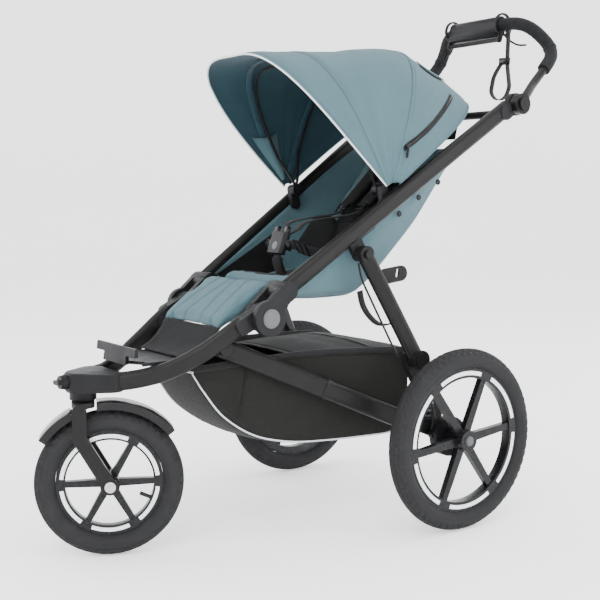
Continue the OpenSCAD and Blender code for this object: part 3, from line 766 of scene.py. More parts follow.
hem = stitches(
    "canopy_hem_stitch", hem_path, (0, math.cos(math.radians(140)), math.sin(math.radians(140))),
    "dark_thread"
)
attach(hem, "canopy_visor")


def surface_strip(name, line, width, out, mats, body_pair, thick=0.8):
    """A flat strip sewn on the canopy's left side; line is a list of (turn, run)."""
    centre = [canopy_at(t, u, out) for t, u in line]
    normals = []
    for t, u in line:
        a, b = canopy_at(t + 1.5, u, out), canopy_at(t - 1.5, u, out)
        c, d = canopy_at(t, u + 0.01, out), canopy_at(t, u - 0.01, out)
        nrm = (a - b).cross(c - d).normalized()
        if nrm.x < 0:
            nrm = -nrm
        normals.append(nrm)
    verts, faces = [], []
    m = len(centre)
    section = strap_section(width / 1000, thick / 1000)
    for i, p in enumerate(centre):
        t = (centre[min(i + 1, m - 1)] - centre[max(i - 1, 0)]).normalized()
        side = t.cross(normals[i]).normalized()
        verts += [p + side * a + normals[i] * b for a, b in section]
    k = len(section)
    for i in range(m - 1):
        for j in range(k):
            a, b = i * k + j, i * k + (j + 1) % k
            faces.append((a, b, b + k, a + k))
    faces += [tuple(range(k - 1, -1, -1)), tuple((m - 1) * k + j for j in range(k))]
    o = recalc(add(name, verts, faces, mats, True))
    return fan_blend(o, *body_pair), centre, normals


REAR_PAIR = ("upper_frame", "canopy_rear", LOW_TURN, REAR_TURN)
zip_ends = ((70.5, 92.0), (47.0, 290.0))
zip_line = []
for k in range(29):
    s = k / 28
    (turn_a, reach_a), (turn_b, reach_b) = zip_ends[0], zip_ends[1]
    y = (1 - s) * reach_a * math.cos(math.radians(turn_a)) + s * reach_b * math.cos(math.radians(turn_b))
    z = (1 - s) * reach_a * math.sin(math.radians(turn_a)) + s * reach_b * math.sin(math.radians(turn_b))
    z += 7.0 * math.sin(math.pi * s) * -1.0
    turn, r = math.degrees(math.atan2(z, y)), math.hypot(y, z)
    zip_line.append((turn, run_for(turn, r)))
tape, zip_centre, zip_normals = surface_strip("canopy_zip_tape", zip_line, 12.0, 0.9, "webbing", REAR_PAIR)
teeth, _, _ = surface_strip("canopy_zip_teeth", zip_line, 3.4, 1.7, "gloss", REAR_PAIR, 1.4)

# zip slider and its pull at the lower end of the zip
p, nrm = zip_centre[2], zip_normals[2]
along = (zip_centre[4] - zip_centre[1]).normalized()
slider = loft(
    "zip_slider", [p - along * 0.007, p - along * 0.004, p + along * 0.003, p + along * 0.007],
    strap_section(0.009, 0.0055), along.cross(nrm), "gloss",
    scale=lambda t: 0.75 + 0.5 * math.sin(math.pi * min(1, t + 0.15))
)
slider.data.transform(Matrix.Translation(nrm * 0.0018))
hang = [
    p + nrm * 0.004 - along * 0.004, p + nrm * 0.006 + Vector((0, -0.004, -0.008)),
    p + nrm * 0.005 + Vector((0, -0.005, -0.017)), p + nrm * 0.003 + Vector((0, -0.004, -0.026))
]
pull = loft("zip_pull", curve(hang, 4), strap_section(0.006, 0.0022), (0, 1, 0.1), "rubber")
for o in (slider, pull):
    fan_blend(o, *REAR_PAIR)

# window vent high on the canopy's back: a dark slot under a small flap
vent_line = [(66.0 - 13.0 * k / 12, 0.665 + 0.012 * math.sin(math.pi * k / 12)) for k in range(13)]
vent, _, _ = surface_strip("canopy_vent_slot", vent_line, 11.0, 0.8, "mesh", REAR_PAIR, 1.0)
flap_line = [(67.5 - 16.0 * k / 12, 0.657 + 0.012 * math.sin(math.pi * k / 12)) for k in range(13)]
flap, _, _ = surface_strip("canopy_vent_flap", flap_line, 9.0, 2.2, "teal", REAR_PAIR, 1.8)

# elastic pocket on the inside of the right side
pocket_verts, pocket_faces = [], []
pr, pc = 12, 16
for skin in (0, 1):
    for i in range(pr + 1):
        for j in range(pc + 1):
            turn = 104.0 + 27.0 * j / pc
            u = run_for(100.0, 30.0 + 112.0 * i / pr)
            belly = math.sin(math.pi * j / pc) * (0.4 + 0.6 * math.sin(math.pi * min(1.0, i / pr * 0.85)))
            pocket_verts.append(canopy_at(turn, 1 - u, -6.0 - 13.0 * belly - 1.2 * skin))
n = pc + 1
half_count = (pr + 1) * n
for i in range(pr):
    for j in range(pc):
        a = i * n + j
        pocket_faces += [
            (a, a + 1, a + n + 1, a + n),
            (half_count + a, half_count + a + n, half_count + a + n + 1, half_count + a + 1)
        ]
for j in range(pc):
    pocket_faces += [(pr * n + j, pr * n + j + 1, half_count + pr * n + j + 1, half_count + pr * n + j)]
pocket = recalc(add("canopy_pocket", pocket_verts, pocket_faces, "teal", True))
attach(pocket, "canopy_front")
for name in ("canopy_rear_bow", "canopy_front_bow"):
    paint(name, "plastic", edges=0)

# ---------------------------------------------------------------- padded pieces


def prism(name, outline, half, mats, inset=0.0):
    """A closed block from an outline in the side view, half as wide to each side; the start of a pad."""
    cy = sum(p[0] for p in outline) / len(outline)
    cz = sum(p[1] for p in outline) / len(outline)
    ring = []
    for y, z in outline:
        d = math.hypot(y - cy, z - cz)
        k = (d - inset) / d
        ring.append((cy + (y - cy) * k, cz + (z - cz) * k))
    n = len(ring)
    verts = [at(-half + inset, y, z) for y, z in ring] + [at(half - inset, y, z) for y, z in ring]
    faces = [tuple(range(n)), tuple(range(2 * n - 1, n - 1, -1))]
    faces += [(i, i + n, (i + 1) % n + n, (i + 1) % n) for i in range(n)]
    return recalc(add(name, verts, faces, mats))


def apply_modifiers(o):
    dg = bpy.context.evaluated_depsgraph_get()
    made = bpy.data.meshes.new_from_object(o.evaluated_get(dg), depsgraph=dg)
    old = o.data
    o.modifiers.clear()
    o.data = made
    bpy.data.meshes.remove(old)
    return o


def points_of(o):
    co = np.empty(len(o.data.vertices) * 3)
    o.data.vertices.foreach_get("co", co)
    return co.reshape(-1, 3)


def put_points(o, co):
    o.data.vertices.foreach_set("co", np.asarray(co, float).ravel())
    o.data.update()


def inflate(o, voxel=0.0055, pressure=4.0, cap=0.008, frames=20, shrink=-0.02):
    """Swells a block into a stuffed pad with a short cloth simulation, then keeps the result as its mesh."""
    r = o.modifiers.new("voxels", "REMESH")
    r.mode = "VOXEL"
    r.voxel_size = voxel
    apply_modifiers(o)
    start = points_of(o).copy()
    c = o.modifiers.new("cloth", "CLOTH")
    c.settings.use_pressure = True
    c.settings.uniform_pressure_force = pressure
    c.settings.shrink_min = shrink
    c.settings.quality = 5
    c.settings.mass = 0.15
    c.settings.tension_stiffness = 12
    c.settings.compression_stiffness = 12
    c.settings.shear_stiffness = 4
    c.settings.bending_stiffness = 0.3
    c.settings.effector_weights.gravity = 0.0
    c.point_cache.frame_start, c.point_cache.frame_end = 1, frames
    scene = bpy.context.scene
    for f in range(1, frames + 1):
        scene.frame_set(f)
    apply_modifiers(o)
    scene.frame_set(1)
    end = points_of(o)
    if len(end) == len(start):
        move = end - start
        size = np.linalg.norm(move, axis=1)[:, None]
        move *= np.minimum(1.0, cap / np.maximum(size, 1e-9))
        put_points(o, start + move)
    s = o.modifiers.new("relax", "SMOOTH")
    s.factor, s.iterations = 0.5, 4
    d = o.modifiers.new("finer", "SUBSURF")
    d.levels = d.render_levels = 1
    apply_modifiers(o)
    o.data.polygons.foreach_set("use_smooth", [True] * len(o.data.polygons))
    return o


def groove(o, distance, depth, width):
    """Presses a sewn channel into a pad; distance(points) is how far each one is from the seam, in metres."""
    co = points_of(o)
    normal = np.empty(len(co) * 3)
    o.data.vertices.foreach_get("normal", normal)
    normal = normal.reshape(-1, 3)
    d = distance(co)
    put_points(o, co - normal * (depth * np.exp(-((d / width) ** 2)))[:, None])
    return o


def crease(o, size=0.0011, scale=26.0, seed=0.0):
    """Small soft creases, the same every run."""
    co = points_of(o)
    normal = np.empty(len(co) * 3)
    o.data.vertices.foreach_get("normal", normal)
    normal = normal.reshape(-1, 3)
    shift = Vector((seed, 0, 0))
    coarse = np.array([noise.noise(Vector(p) * scale + shift) for p in co])
    k = coarse + 0.4 * np.array([noise.noise(Vector(p) * scale * 2.7) for p in co])
    put_points(o, co + normal * (k * size)[:, None])
    return o


AXLE = AXLE_Y / 1000.0

# calf pad: two pairs of sewn channels run down it
calf_line = [
    (-505, 453), (-440, 482), (-372, 531), (-352, 538), (-350, 548), (-362, 551), (-382, 546),
    (-452, 502), (-500, 466)
]
calf = prism("calf_cushion", calf_line, 121, "teal", 3.5)
inflate(calf, 0.005, 4.0, 0.007)
for x in (-0.020, -0.066):
    groove(
        calf, lambda co,
        x=x: np.where(co[:, 2] > 0.44, np.abs(co[:, 0] - (x + 0.22 * (co[:, 1] - AXLE + 0.43))), 1.0),
        0.0030, 0.0034
    )
    groove(
        calf, lambda co,
        x=x: np.where(co[:, 2] > 0.44, np.abs(co[:, 0] - (-x - 0.22 * (co[:, 1] - AXLE + 0.43))), 1.0),
        0.0030, 0.0034
    )
crease(calf, 0.0008, 30.0)
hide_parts("calf_pad")
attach(calf, "front_frame")

# black cloth between the calf pad and the footrest
apron_line = curve(
    [
        Vector(at(0, -492, 461)), Vector(at(0, -504, 445)), Vector(at(0, -521, 427)),
        Vector(at(0, -545, 411)), Vector(at(0, -566, 402.5))
    ],
    4
)
verts = []
cols, rows = 16, len(apron_line) - 1
for skin in (0, 1):
    for i, p in enumerate(apron_line):
        half = 0.119 - 0.022 * i / rows
        for j in range(cols + 1):
            u = 2 * j / cols - 1
            dip = 0.0016 * noise.noise(Vector((u * 3, i * 0.3, 1.0)))
            dip -= 0.003 * (1 - u * u) * math.sin(math.pi * i / rows)
            verts.append(Vector((half * u, p.y - 0.0009 * skin, p.z + dip + 0.0004 - 0.0018 * skin)))
faces = two_skins(rows, cols)
apron = recalc(add("foot_apron", verts, faces, "mesh", True))
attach(apron, "front_frame")

# seat pad, with a raised front roll and the black centre panel of air mesh
seat_line = [
    (-343, 519), (-150, 516), (-134, 524), (-134, 542), (-160, 551), (-240, 546), (-300, 551),
    (-334, 555), (-345, 545)
]
seat = prism("seat_cushion", seat_line, 128, ("teal", "mesh"), 3.5)
inflate(seat, 0.0055, 4.0, 0.007)
groove(seat, lambda co: np.abs(co[:, 1] - AXLE + 0.312), 0.0035, 0.0045)
for s in (-1, 1):
    groove(
        seat, lambda co, s=s: np.where(co[:, 1] > AXLE - 0.30, np.abs(co[:, 0] - s * 0.082), 1.0),
        0.0022, 0.0032
    )
crease(seat, 0.0009, 24.0, 3.0)
for f in seat.data.polygons:
    c = f.center
    f.material_index = 1 if c.z > 0.535 and abs(c.x) < 0.081 and c.y > AXLE - 0.309 else 0
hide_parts("seat_bottom")
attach(seat, "upper_frame")

# back pad, in the slope of the backrest: along runs up it, out away from the child
BACK_UP = Vector((0, math.cos(math.radians(50)), math.sin(math.radians(50))))
BACK_OUT = Vector((0, math.sin(math.radians(50)), -math.cos(math.radians(50))))
RECLINE = Vector(at(0, -118, 566))


def back_at(x, along, out):
    return RECLINE + Vector((x / 1000.0, 0, 0)) + BACK_UP * (along / 1000.0) + BACK_OUT * (out / 1000.0)


def back_yz(along, out):
    p = back_at(0, along, out)
    return (p.y * 1000 - AXLE_Y, p.z * 1000)


back_line = [
    back_yz(24, -8), back_yz(22, 8), back_yz(120, 17), back_yz(240, 17), back_yz(346, 5),
    back_yz(348, -8), back_yz(230, -6), back_yz(110, -9)
]
back = prism("back_cushion", back_line, 126, ("teal", "mesh"), 3.5)
inflate(back, 0.0058, 4.0, 0.008)


def back_uv(co):
    rel = co - np.array(RECLINE)
    return rel @ np.array(BACK_UP), rel @ np.array(BACK_OUT)


for cut in (0.118, 0.232):
    groove(
        back, lambda co, cut=cut: np.where(back_uv(co)[1] < 0.004, np.abs(back_uv(co)[0] - cut), 1.0),
        0.0032, 0.0042
    )
for s in (-1, 1):
    groove(
        back, lambda co, s=s: np.where(back_uv(co)[1] < 0.004, np.abs(co[:, 0] - s * 0.070), 1.0),
        0.0026, 0.0036
    )
crease(back, 0.0011, 20.0, 7.0)
for f in back.data.polygons:
    rel = f.center - RECLINE
    f.material_index = 1 if rel.dot(BACK_OUT) < 0.0 and abs(f.center.x) < 0.069 else 0
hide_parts("backrest")
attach(back, "backrest")

# black hip pads on both sides of the back's foot
for s, tag in ((1, "left"), (-1, "right")):
    verts, faces = [], []
    rows, cols = 12, 12
    for skin in (0, 1):
        for i in range(rows + 1):
            for j in range(cols + 1):
                a, b = i / rows, j / cols
                crown = (math.sin(math.pi * a) * math.sin(math.pi * b)) ** 0.45
                x = s * (36 + 92 * b)
                along = 34 + (62 + 34 * math.sin(math.pi * b * 0.8)) * a
                out = -16 - (13 * crown + 20 * b * b if skin == 0 else 1.5 + 20 * b * b)
                verts.append(back_at(x, along, out))
    n, base = cols + 1, (rows + 1) * (cols + 1)
    for i in range(rows):
        for j in range(cols):
            a = i * n + j
            faces += [
                (a, a + 1, a + n + 1, a + n), (base + a, base + a + n, base + a + n + 1, base + a + 1)
            ]
    hip = recalc(add("hip_pad_" + tag, verts, faces, "mesh", True))
    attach(hip, "backrest")

# ---------------------------------------------------------------- seat shell hung between the tubes

SHELL_LOW = [
    (-346, 520), (-318, 512), (-262, 508), (-205, 508), (-158, 511), (-128, 526), (-92, 556),
    (-46, 600), (6, 652), (52, 712), (92, 768), (124, 812), (140, 838)
]
SHELL_TOP = [
    (-346, 546), (-318, 566), (-262, 604), (-205, 643), (-158, 675), (-128, 695), (-92, 720),
    (-46, 751), (6, 786), (52, 815), (92, 838), (124, 852), (140, 858)
]


def tube_inner(y):
    return 203.5 + 0.106 * y - 13.5


def shell_grid(name, mats, out, face_kind=None):
    low = curve([Vector((0, *p)) for p in SHELL_LOW], 4)
    top = curve([Vector((0, *p)) for p in SHELL_TOP], 4)
    across = []
    verts, weights = [], []
    cols = 14
    for skin in (0, 1):
        for a, b in zip(top, low):
            row = []
            xt = tube_inner(a.y)
            knots = [
                (xt, 0.0), (xt * 0.5 + 82, 0.30), (156, 0.62), (143, 0.88), (112, 1.0), (58, 1.02),
                (0, 1.02)
            ]
            line = curve([Vector((x, f, 0)) for x, f in knots], 3)
            full = [(v.x, v.y) for v in line] + [(-v.x, v.y) for v in reversed(line[:-1])]
            for x, f in full:
                y, z = a.y + (b.y - a.y) * f, a.z + (b.z - a.z) * f
                k = 1.6 * noise.noise(Vector((x * 0.012, y * 0.016, z * 0.016)))
                k *= math.sin(math.pi * min(1.0, f))
                inward = out + 2.2 * skin - k
                fx = x - math.copysign(min(abs(x), inward * (1 - min(1, f) ** 2)), x)
                up = inward * min(1, f) ** 2
                slope = Vector((0, b.y - a.y, b.z - a.z)).normalized()
                verts.append(Vector(at(fx, y - slope.y * up, z - slope.z * up)))
                rise = min(1.0, max(0.0, (y + 120) / 90.0))
                weights.append(rise * rise * (3 - 2 * rise) * min(1.0, f) ** 1.3)
            across = full
    n, rows = len(across), len(top)
    base = n * rows
    faces, kinds = [], []
    for i in range(rows - 1):
        for j in range(n - 1):
            a = i * n + j
            faces.append((a, a + 1, a + n + 1, a + n))
            kinds.append(0)
            faces.append((base + a, base + a + n, base + a + n + 1, base + a + 1))
            f, y = abs(across[j][1]), top[i].y
            kinds.append(2 if 0.30 < f < 1.2 and -332 < y < -165 else 1)
    rim = [(i * n, (i + 1) * n) for i in range(rows - 1)] + [
        ((i + 1) * n + n - 1, i * n + n - 1) for i in range(rows - 1)
    ]
    rim += [(j + 1, j) for j in range(n - 1)] + [
        ((rows - 1) * n + j, (rows - 1) * n + j + 1) for j in range(n - 1)
    ]
    for a, b in rim:
        faces.append((a, b, base + b, base + a))
        kinds.append(0)
    o = recalc(add(name, verts, faces, mats, True, kinds))
    return o, weights


shell, shell_weights = shell_grid("seat_shell", ("teal", "teal", "mesh"), 0.0)
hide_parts("seat_sides")
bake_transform(shell)
cut = half_area(shell)

# ---------------------------------------------------------------- harness


def ring_slider(name, centre, along, across_dir, w, body, size=1.0):
    """A flat three-bar webbing adjuster."""
    a, b = Vector(along).normalized(), Vector(across_dir).normalized()
    n = a.cross(b).normalized()
    hw, hl = w / 2 + 0.003, 0.011 * size
    objs_v, objs_f = [], []

    def bar(p, q, t, h):
        base = len(objs_v)
        d = (q - p).normalized()
        s = d.cross(n).normalized()
        for e in (p - d * t * 0.5, q + d * t * 0.5):
            for u, v in (
                (-1, -0.6), (-0.6, -1), (0.6, -1), (1, -0.6), (1, 0.6), (0.6, 1), (-0.6, 1), (-1, 0.6)
            ):
                objs_v.append(e + s * (u * t / 2) + n * (v * h / 2))
        for j in range(8):
            k = (j + 1) % 8
            objs_f.append((base + j, base + k, base + 8 + k, base + 8 + j))
        objs_f.append(tuple(base + j for j in range(7, -1, -1)))
        objs_f.append(tuple(base + 8 + j for j in range(8)))

    c = Vector(centre)
    for off in (-hl, 0.0, hl):
        bar(c + a * off - b * hw, c + a * off + b * hw, 0.0042, 0.0034)
    for side in (-1, 1):
        bar(c + b * hw * side - a * hl, c + b * hw * side + a * hl, 0.0042, 0.0034)
    o = recalc(add(name, objs_v, objs_f, "gloss", False))
    soften(o, 0.0005, 2)
    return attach(o, body)


BUCKLE = Vector(at(0, -266, 624))
for s, tag in ((1, "left"), (-1, "right")):
    # padded shoulder strap
    route = [
        back_at(34 * s, 318, -12), back_at(34 * s, 286, -20), back_at(34 * s, 240, -25),
        back_at(34 * s, 190, -31), back_at(34 * s, 152, -37)
    ]
    path = curve(route, 6)
    sec = [
        (
            0.023 * math.copysign(abs(math.cos(t)) ** 0.45, math.cos(t)),
            0.0052 * math.copysign(abs(math.sin(t)) ** 0.7, math.sin(t))
        )
        for t in [2 * math.pi * k / 20 for k in range(20)]
    ]
    pad = loft(
        "shoulder_pad_" + tag, path, sec, (1, 0, 0), "mesh",
        scale=lambda t: 0.82 + 0.18 * math.sin(math.pi * min(1.0, max(0.0, t))) ** 0.4
    )
    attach(pad, "backrest")
    if s == 1:
        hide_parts("shoulder_harness")
    lower = [
        back_at(34 * s, 154, -38), back_at(33 * s, 120, -46), Vector(at(29 * s, -205, 672)),
        Vector(at(24 * s, -232, 655)), BUCKLE + Vector((0.019 * s, 0.010, 0.020))
    ]
    web = strap("shoulder_web_" + tag, lower, 0.022, 0.0022, (1, 0, 0))
    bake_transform(web)
    ring_slider(
        "shoulder_adjuster_" + tag, back_at(33.5 * s, 138, -42.5), BACK_UP, (1, 0, 0), 0.024,
        "backrest", 1.2
    )
    # upper web, from the pad's top into its slot in the back
    upper = [back_at(34 * s, 312, -14), back_at(34 * s, 328, -10), back_at(34 * s, 338, -4)]
    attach(strap("shoulder_top_" + tag, upper, 0.024, 0.0022, (1, 0, 0)), "backrest")
    # waist strap
    waist = [
        Vector(at(138 * s, -182, 592)), Vector(at(112 * s, -214, 600)), Vector(at(78 * s, -244, 612)),
        Vector(at(46 * s, -258, 621)), BUCKLE + Vector((0.026 * s, 0.002, -0.004))
    ]
    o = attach(strap("waist_strap_" + tag, waist, 0.023, 0.0022, (0, -0.5, 0.85)), "upper_frame")
    if s == 1:
        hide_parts("lap_harness")
    ring_slider(
        "waist_adjuster_" + tag, at(66 * s, -250.5, 615.5), (1 * s, 0.42, -0.26), (0, -0.5, 0.85),
        0.025, "upper_frame", 1.3
    )
crotch = [
    Vector(at(0, -258, 552)), Vector(at(0, -264, 566)), Vector(at(0, -270, 584)),
    Vector(at(0, -268, 602))
]
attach(strap("crotch_strap", crotch, 0.026, 0.0024, (1, 0, 0)), "upper_frame")
sleeve = [
    (
        0.0175 * math.copysign(abs(math.cos(t)) ** 0.45, math.cos(t)),
        0.005 * math.copysign(abs(math.sin(t)) ** 0.7, math.sin(t))
    )
    for t in [2 * math.pi * k / 20 for k in range(20)]
]
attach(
    loft(
        "crotch_pad",
        curve(
            [
                Vector(at(0, -258.5, 556)), Vector(at(0, -264, 567)), Vector(at(0, -269, 580)),
                Vector(at(0, -269.5, 592))
            ],
            5
        ),
        sleeve, (1, 0, 0), "mesh"
    ),
    "upper_frame"
)

# buckle: tongues of the shoulder and waist webs on both sides
for s, tag in ((1, "left"), (-1, "right")):
    tongue = [
        BUCKLE + Vector((0.018 * s, 0.004, 0.018)), BUCKLE + Vector((0.019 * s, 0.009, 0.028)),
        BUCKLE + Vector((0.0195 * s, 0.013, 0.036))
    ]
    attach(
        loft(
            "buckle_tongue_" + tag, tongue, strap_section(0.018, 0.006), (1, 0, 0), "gloss",
        ),
        "upper_frame"
    )
    wing = [
        BUCKLE + Vector((0.024 * s, 0.001, -0.005)), BUCKLE + Vector((0.033 * s, 0.002, -0.006)),
        BUCKLE + Vector((0.040 * s, 0.003, -0.008))
    ]
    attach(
        loft(
            "waist_tongue_" + tag, wing, strap_section(0.020, 0.006), (0, -0.3, 0.95), "gloss",
        ),
        "upper_frame"
    )

# dark air-mesh panel between the canopy's rear hem and the top of the seat's back
verts = []
cols, rows = 22, 10
for skin in (0, 1):
    for i in range(rows + 1):
        f = i / rows
        for j in range(cols + 1):
            x = 152 * (2 * j / cols - 1)
            lean = math.asin(min(1.0, (abs(x) / 207.0) ** (1 / 0.46)))
            reach = 353 * math.cos(lean) ** 0.46
            hem = math.radians(LOW_TURN)
            top = Vector((x, -108 + reach * math.cos(hem), 744 + reach * math.sin(hem)))
            foot = Vector((x * 0.90, 141, 860))
            p = top.lerp(foot, f)
            verts.append(at(p.x, p.y - 5 * math.sin(math.pi * f) - 1.8 * skin, p.z))
faces = two_skins(rows, cols)
net = recalc(add("canopy_back_mesh", verts, faces, "mesh", True))
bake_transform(net)

# ---------------------------------------------------------------- cargo basket

BASKET_LOW = [
    (-546, 366), (-520, 318), (-478, 264), (-410, 218), (-330, 196), (-250, 190), (-150, 189),
    (-70, 194), (-40, 226)
]
BASKET_TOP = [
    (-546, 374), (-520, 375), (-478, 378), (-410, 383), (-330, 388), (-250, 390), (-150, 387),
    (-70, 384), (-40, 382)
]


def basket_half(y):
    return 100 + 84 * (y + 560) / 540


def basket_section(top, low, half, inset):
    """Right half of a section: rim, bulging side, rounded corner and sagging bottom, as (x, z)."""
    deep = top - low
    side = [
        (half - inset, top), (half + 1.5 - inset, top - deep * 0.25),
        (half + 2.0 - inset, top - deep * 0.55), (half - 3 - inset, top - deep * 0.84)
    ]
    corner = [
        (half - 11 - inset, low + min(9.0, deep * 0.4)), (half * 0.84 - inset * 0.5, low + 3 + inset),
        (half * 0.5, low - 2 + inset), (0.0, low - 4 + inset)
    ]
    return side + corner


def basket_shell():
    low = curve([Vector((0, *p)) for p in BASKET_LOW], 4)
    top = curve([Vector((0, *p)) for p in BASKET_TOP], 4)
    verts = []
    n = 0
    for skin in (0, 1):
        for a, b in zip(top, low):
            part = basket_section(a.z, b.z, basket_half(b.y), 2.0 * skin)
            line = curve([Vector((x, z, 0)) for x, z in part], 3)
            full = [(v.x, v.y) for v in line] + [(-v.x, v.y) for v in reversed(line[:-1])]
            n = len(full)
            for k, (x, z) in enumerate(full):
                f = min(1.0, max(0.0, (a.z - z) / max(1.0, a.z - b.z)))
                y = a.y + (b.y - a.y) * f
                d = 3.2 * noise.noise(Vector((x * 0.013, y * 0.017, z * 0.02)))
                d += 1.2 * noise.noise(Vector((x * 0.05, y * 0.04, z * 0.05)))
                w = math.sin(math.pi * min(1.0, 0.08 + 0.9 * f))
                inward = math.copysign(abs(d) * w, x) if abs(x) > 1 else 0.0
                verts.append(at(x - inward, y, z + (d * w * 0.6 if f > 0.9 else 0)))
    faces = two_skins(len(top) - 1, n - 1)
    return recalc(add("basket_shell", verts, faces, "basket"))


basket_parts = []
bag = basket_shell()
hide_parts("basket")
basket_parts.append(bag)

# pale piping along both lower side edges and up round the front, black hems on the rim
for s, tag in ((1, "left"), (-1, "right")):
    edge = []
    for a, b in zip(BASKET_TOP, BASKET_LOW):
        deep = a[1] - b[1]
        forward = 1 if b[0] < -400 else 0
        edge.append(Vector(at(s * (basket_half(b[0]) - 6.5), b[0] - forward, b[1] + min(9.0, deep * 0.4) - 1)))
    basket_parts.append(tube("basket_piping_" + tag, edge, 0.0019, "piping", 6, n=8))
    rim_line = [Vector(at(s * (basket_half(y) - 1), y, z + 1)) for y, z in BASKET_TOP]
    basket_parts.append(loft("basket_hem_" + tag, curve(rim_line, 3), [(-0.003, -0.009), (0.003, -0.009), (0.0038, 0.0), (0.003, 0.004), (-0.003, 0.004), (-0.0038, 0.0)], (1, 0, 0), "webbing"))
    seam = [
        Vector(at(s * (basket_half(y) + 2.9), y, z)) for y, z in ((-452, 268), (-440, 320), (-432, 376))
    ]
    basket_parts.append(tube("basket_front_seam_" + tag, seam, 0.0011, "basket", 5, n=6))
# rear panel
verts = []
cols, rows = 20, 10
for skin in (0, 1):
    for i in range(rows + 1):
        f = i / rows
        for j in range(cols + 1):
            u = 2 * j / cols - 1
            half = basket_half(-40) - 3
            low = 222 + 16 * abs(u) ** 6
            z = 382 + (low - 382) * f
            y = -38 - 2.2 * skin + 3.0 * math.sin(math.pi * f) * (1 - u * u)
            y += 1.6 * noise.noise(Vector((u * 5, f * 4, 2.0)))
            verts.append(at(half * u * (1 - 0.03 * f ** 3), y, z))
faces = two_skins(rows, cols)
rear_panel = recalc(add("basket_rear_panel", verts, faces, "mesh", True))
basket_parts.append(rear_panel)
rear_binding = [Vector(at(x, -39, 226 + 16 * abs(x / 183) ** 6)) for x in range(-172, 173, 43)]
basket_parts.append(strap("basket_rear_binding", rear_binding, 0.012, 0.0062, (0, 0, 1), "webbing", 3))
front_edge = [Vector(at(x, -547, 371 - 3 * math.cos(x / 100 * math.pi / 2))) for x in (-99, -60, 0, 60, 99)]
basket_parts.append(tube("basket_front_piping", front_edge, 0.0022, "piping", 4, n=8))
pocket = []
for x in range(-100, 101, 20):
    pocket.append(Vector(at(x * 1.02, -500 + abs(x) * 0.05, 291 + 0.0009 * x * x)))
basket_parts.append(strap("basket_pocket_hem", pocket, 0.012, 0.0026, (0, -0.72, 0.70), "webbing", 3))

# sloping cover over the rear of the basket, with a ridge and a sewn seam
verts = []
cols, rows = 18, 14
for skin in (0, 1):
    for i in range(rows + 1):
        y = -312 + 276 * i / rows
        for j in range(cols + 1):
            u = 2 * j / cols - 1
            half = basket_half(y) - 3
            rise = 15 * (1 - abs(u) ** 2.4) * math.sin(math.pi * (0.12 + 0.80 * i / rows))
            rise -= 5 * math.exp(-(((y + 175) / 16) ** 2)) * (1 - u * u)
            z = 388 + rise - 2.0 * skin + 2.2 * noise.noise(Vector((u * 4, y * 0.03, 5.0))) * (1 - abs(u))
            verts.append(at(half * u, y, z))
faces = two_skins(rows, cols)
cover = recalc(add("basket_cover", verts, faces, "mesh", True))
basket_parts.append(cover)
front_hem = [Vector(verts[j]) + Vector((0, 0, -0.001)) for j in range(cols + 1)]
basket_parts.append(strap("basket_cover_hem", front_hem, 0.012, 0.0034, (0, 1, 0), "webbing", 2))
stitch_line = [Vector(v) + Vector((0, 0.009, 0.0012)) for v in front_hem]
basket_parts.append(stitches("basket_cover_stitches", stitch_line, (0, 0, 1), "dark_thread"))
zip_line = [Vector(at(x, -118, 390 + 15 * (1 - abs(x / 166) ** 2.4) * 0.86)) for x in range(-150, 151, 30)]
basket_parts.append(strap("basket_cover_seam", zip_line, 0.009, 0.0016, (0, 1, 0), "webbing", 3))

for o in basket_parts:
    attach(o, "chassis")
    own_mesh(o)

# ---------------------------------------------------------------- tyres


def tyre(name, node, body, centre, axis, r, half, seat, steps, blocks):
    """Air tyre: rounded carcass, staggered tread blocks, grooves, a rim-guard ring and fine side ribs."""
    ax = Vector(axis).normalized()
    u = Vector((0, 0, 1))
    v = ax.cross(u).normalized()
    u = v.cross(ax).normalized()
    profile = []
    cr = r - half * 0.98
    for k in range(45):
        a = math.radians(-118 + 236 * k / 44)
        wide = half * (1.0 if abs(a) < 1.57 else 0.99)
        profile.append((wide * math.sin(a), cr + (r - cr) * math.cos(a), abs(math.degrees(a))))
    inner = [
        (half * 0.62, seat + 0.0008, 200), (0.0, seat + 0.0004, 200), (-half * 0.62, seat + 0.0008, 200)
    ]
    verts, faces = [], []
    n = len(profile) + len(inner)
    for i in range(steps):
        t = i / steps
        d = u * math.cos(2 * math.pi * t) + v * math.sin(2 * math.pi * t)
        for h, q, deg in profile:
            drop = 0.0
            if deg < 62:
                row = 0 if deg < 14 else 1 if deg < 36 else 2
                phase = (
                    t * blocks + (0.5 if row == 1 else 0.0)
                    + 0.10 * math.sin(deg * 0.11) * (1 if h > 0 else -1)
                ) % 1.0
                gap = 0.16 if row == 0 else 0.24 if row == 1 else 0.34
                if phase < gap and row:
                    drop = 0.0019
                if 11 < deg < 16.5 or 34 < deg < 39:
                    drop = 0.0021
            elif deg < 69:
                drop = 0.0016
            elif 98 < deg < 104:
                drop = -0.0009
            elif deg < 96 and int(deg / 5) % 2:
                drop = 0.00035
            k = (q - cr) / (r - cr)
            out = Vector((h / half, k, 0)).normalized() if deg <= 180 else Vector((0, 0, 0))
            verts.append(
                Vector(centre) + ax * (h - out.x * drop) + d * (max(q, seat + 0.001) - out.y * drop)
            )
        verts += [Vector(centre) + ax * h + d * q for h, q, _ in inner]
    for i in range(steps):
        for j in range(n):
            a, b = i * n + j, i * n + (j + 1) % n
            c, e = ((i + 1) % steps) * n + (j + 1) % n, ((i + 1) % steps) * n + j
            faces.append((a, b, c, e))
    o = recalc(add(name, verts, faces, "tyre"))
    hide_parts(node)
    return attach(o, body)


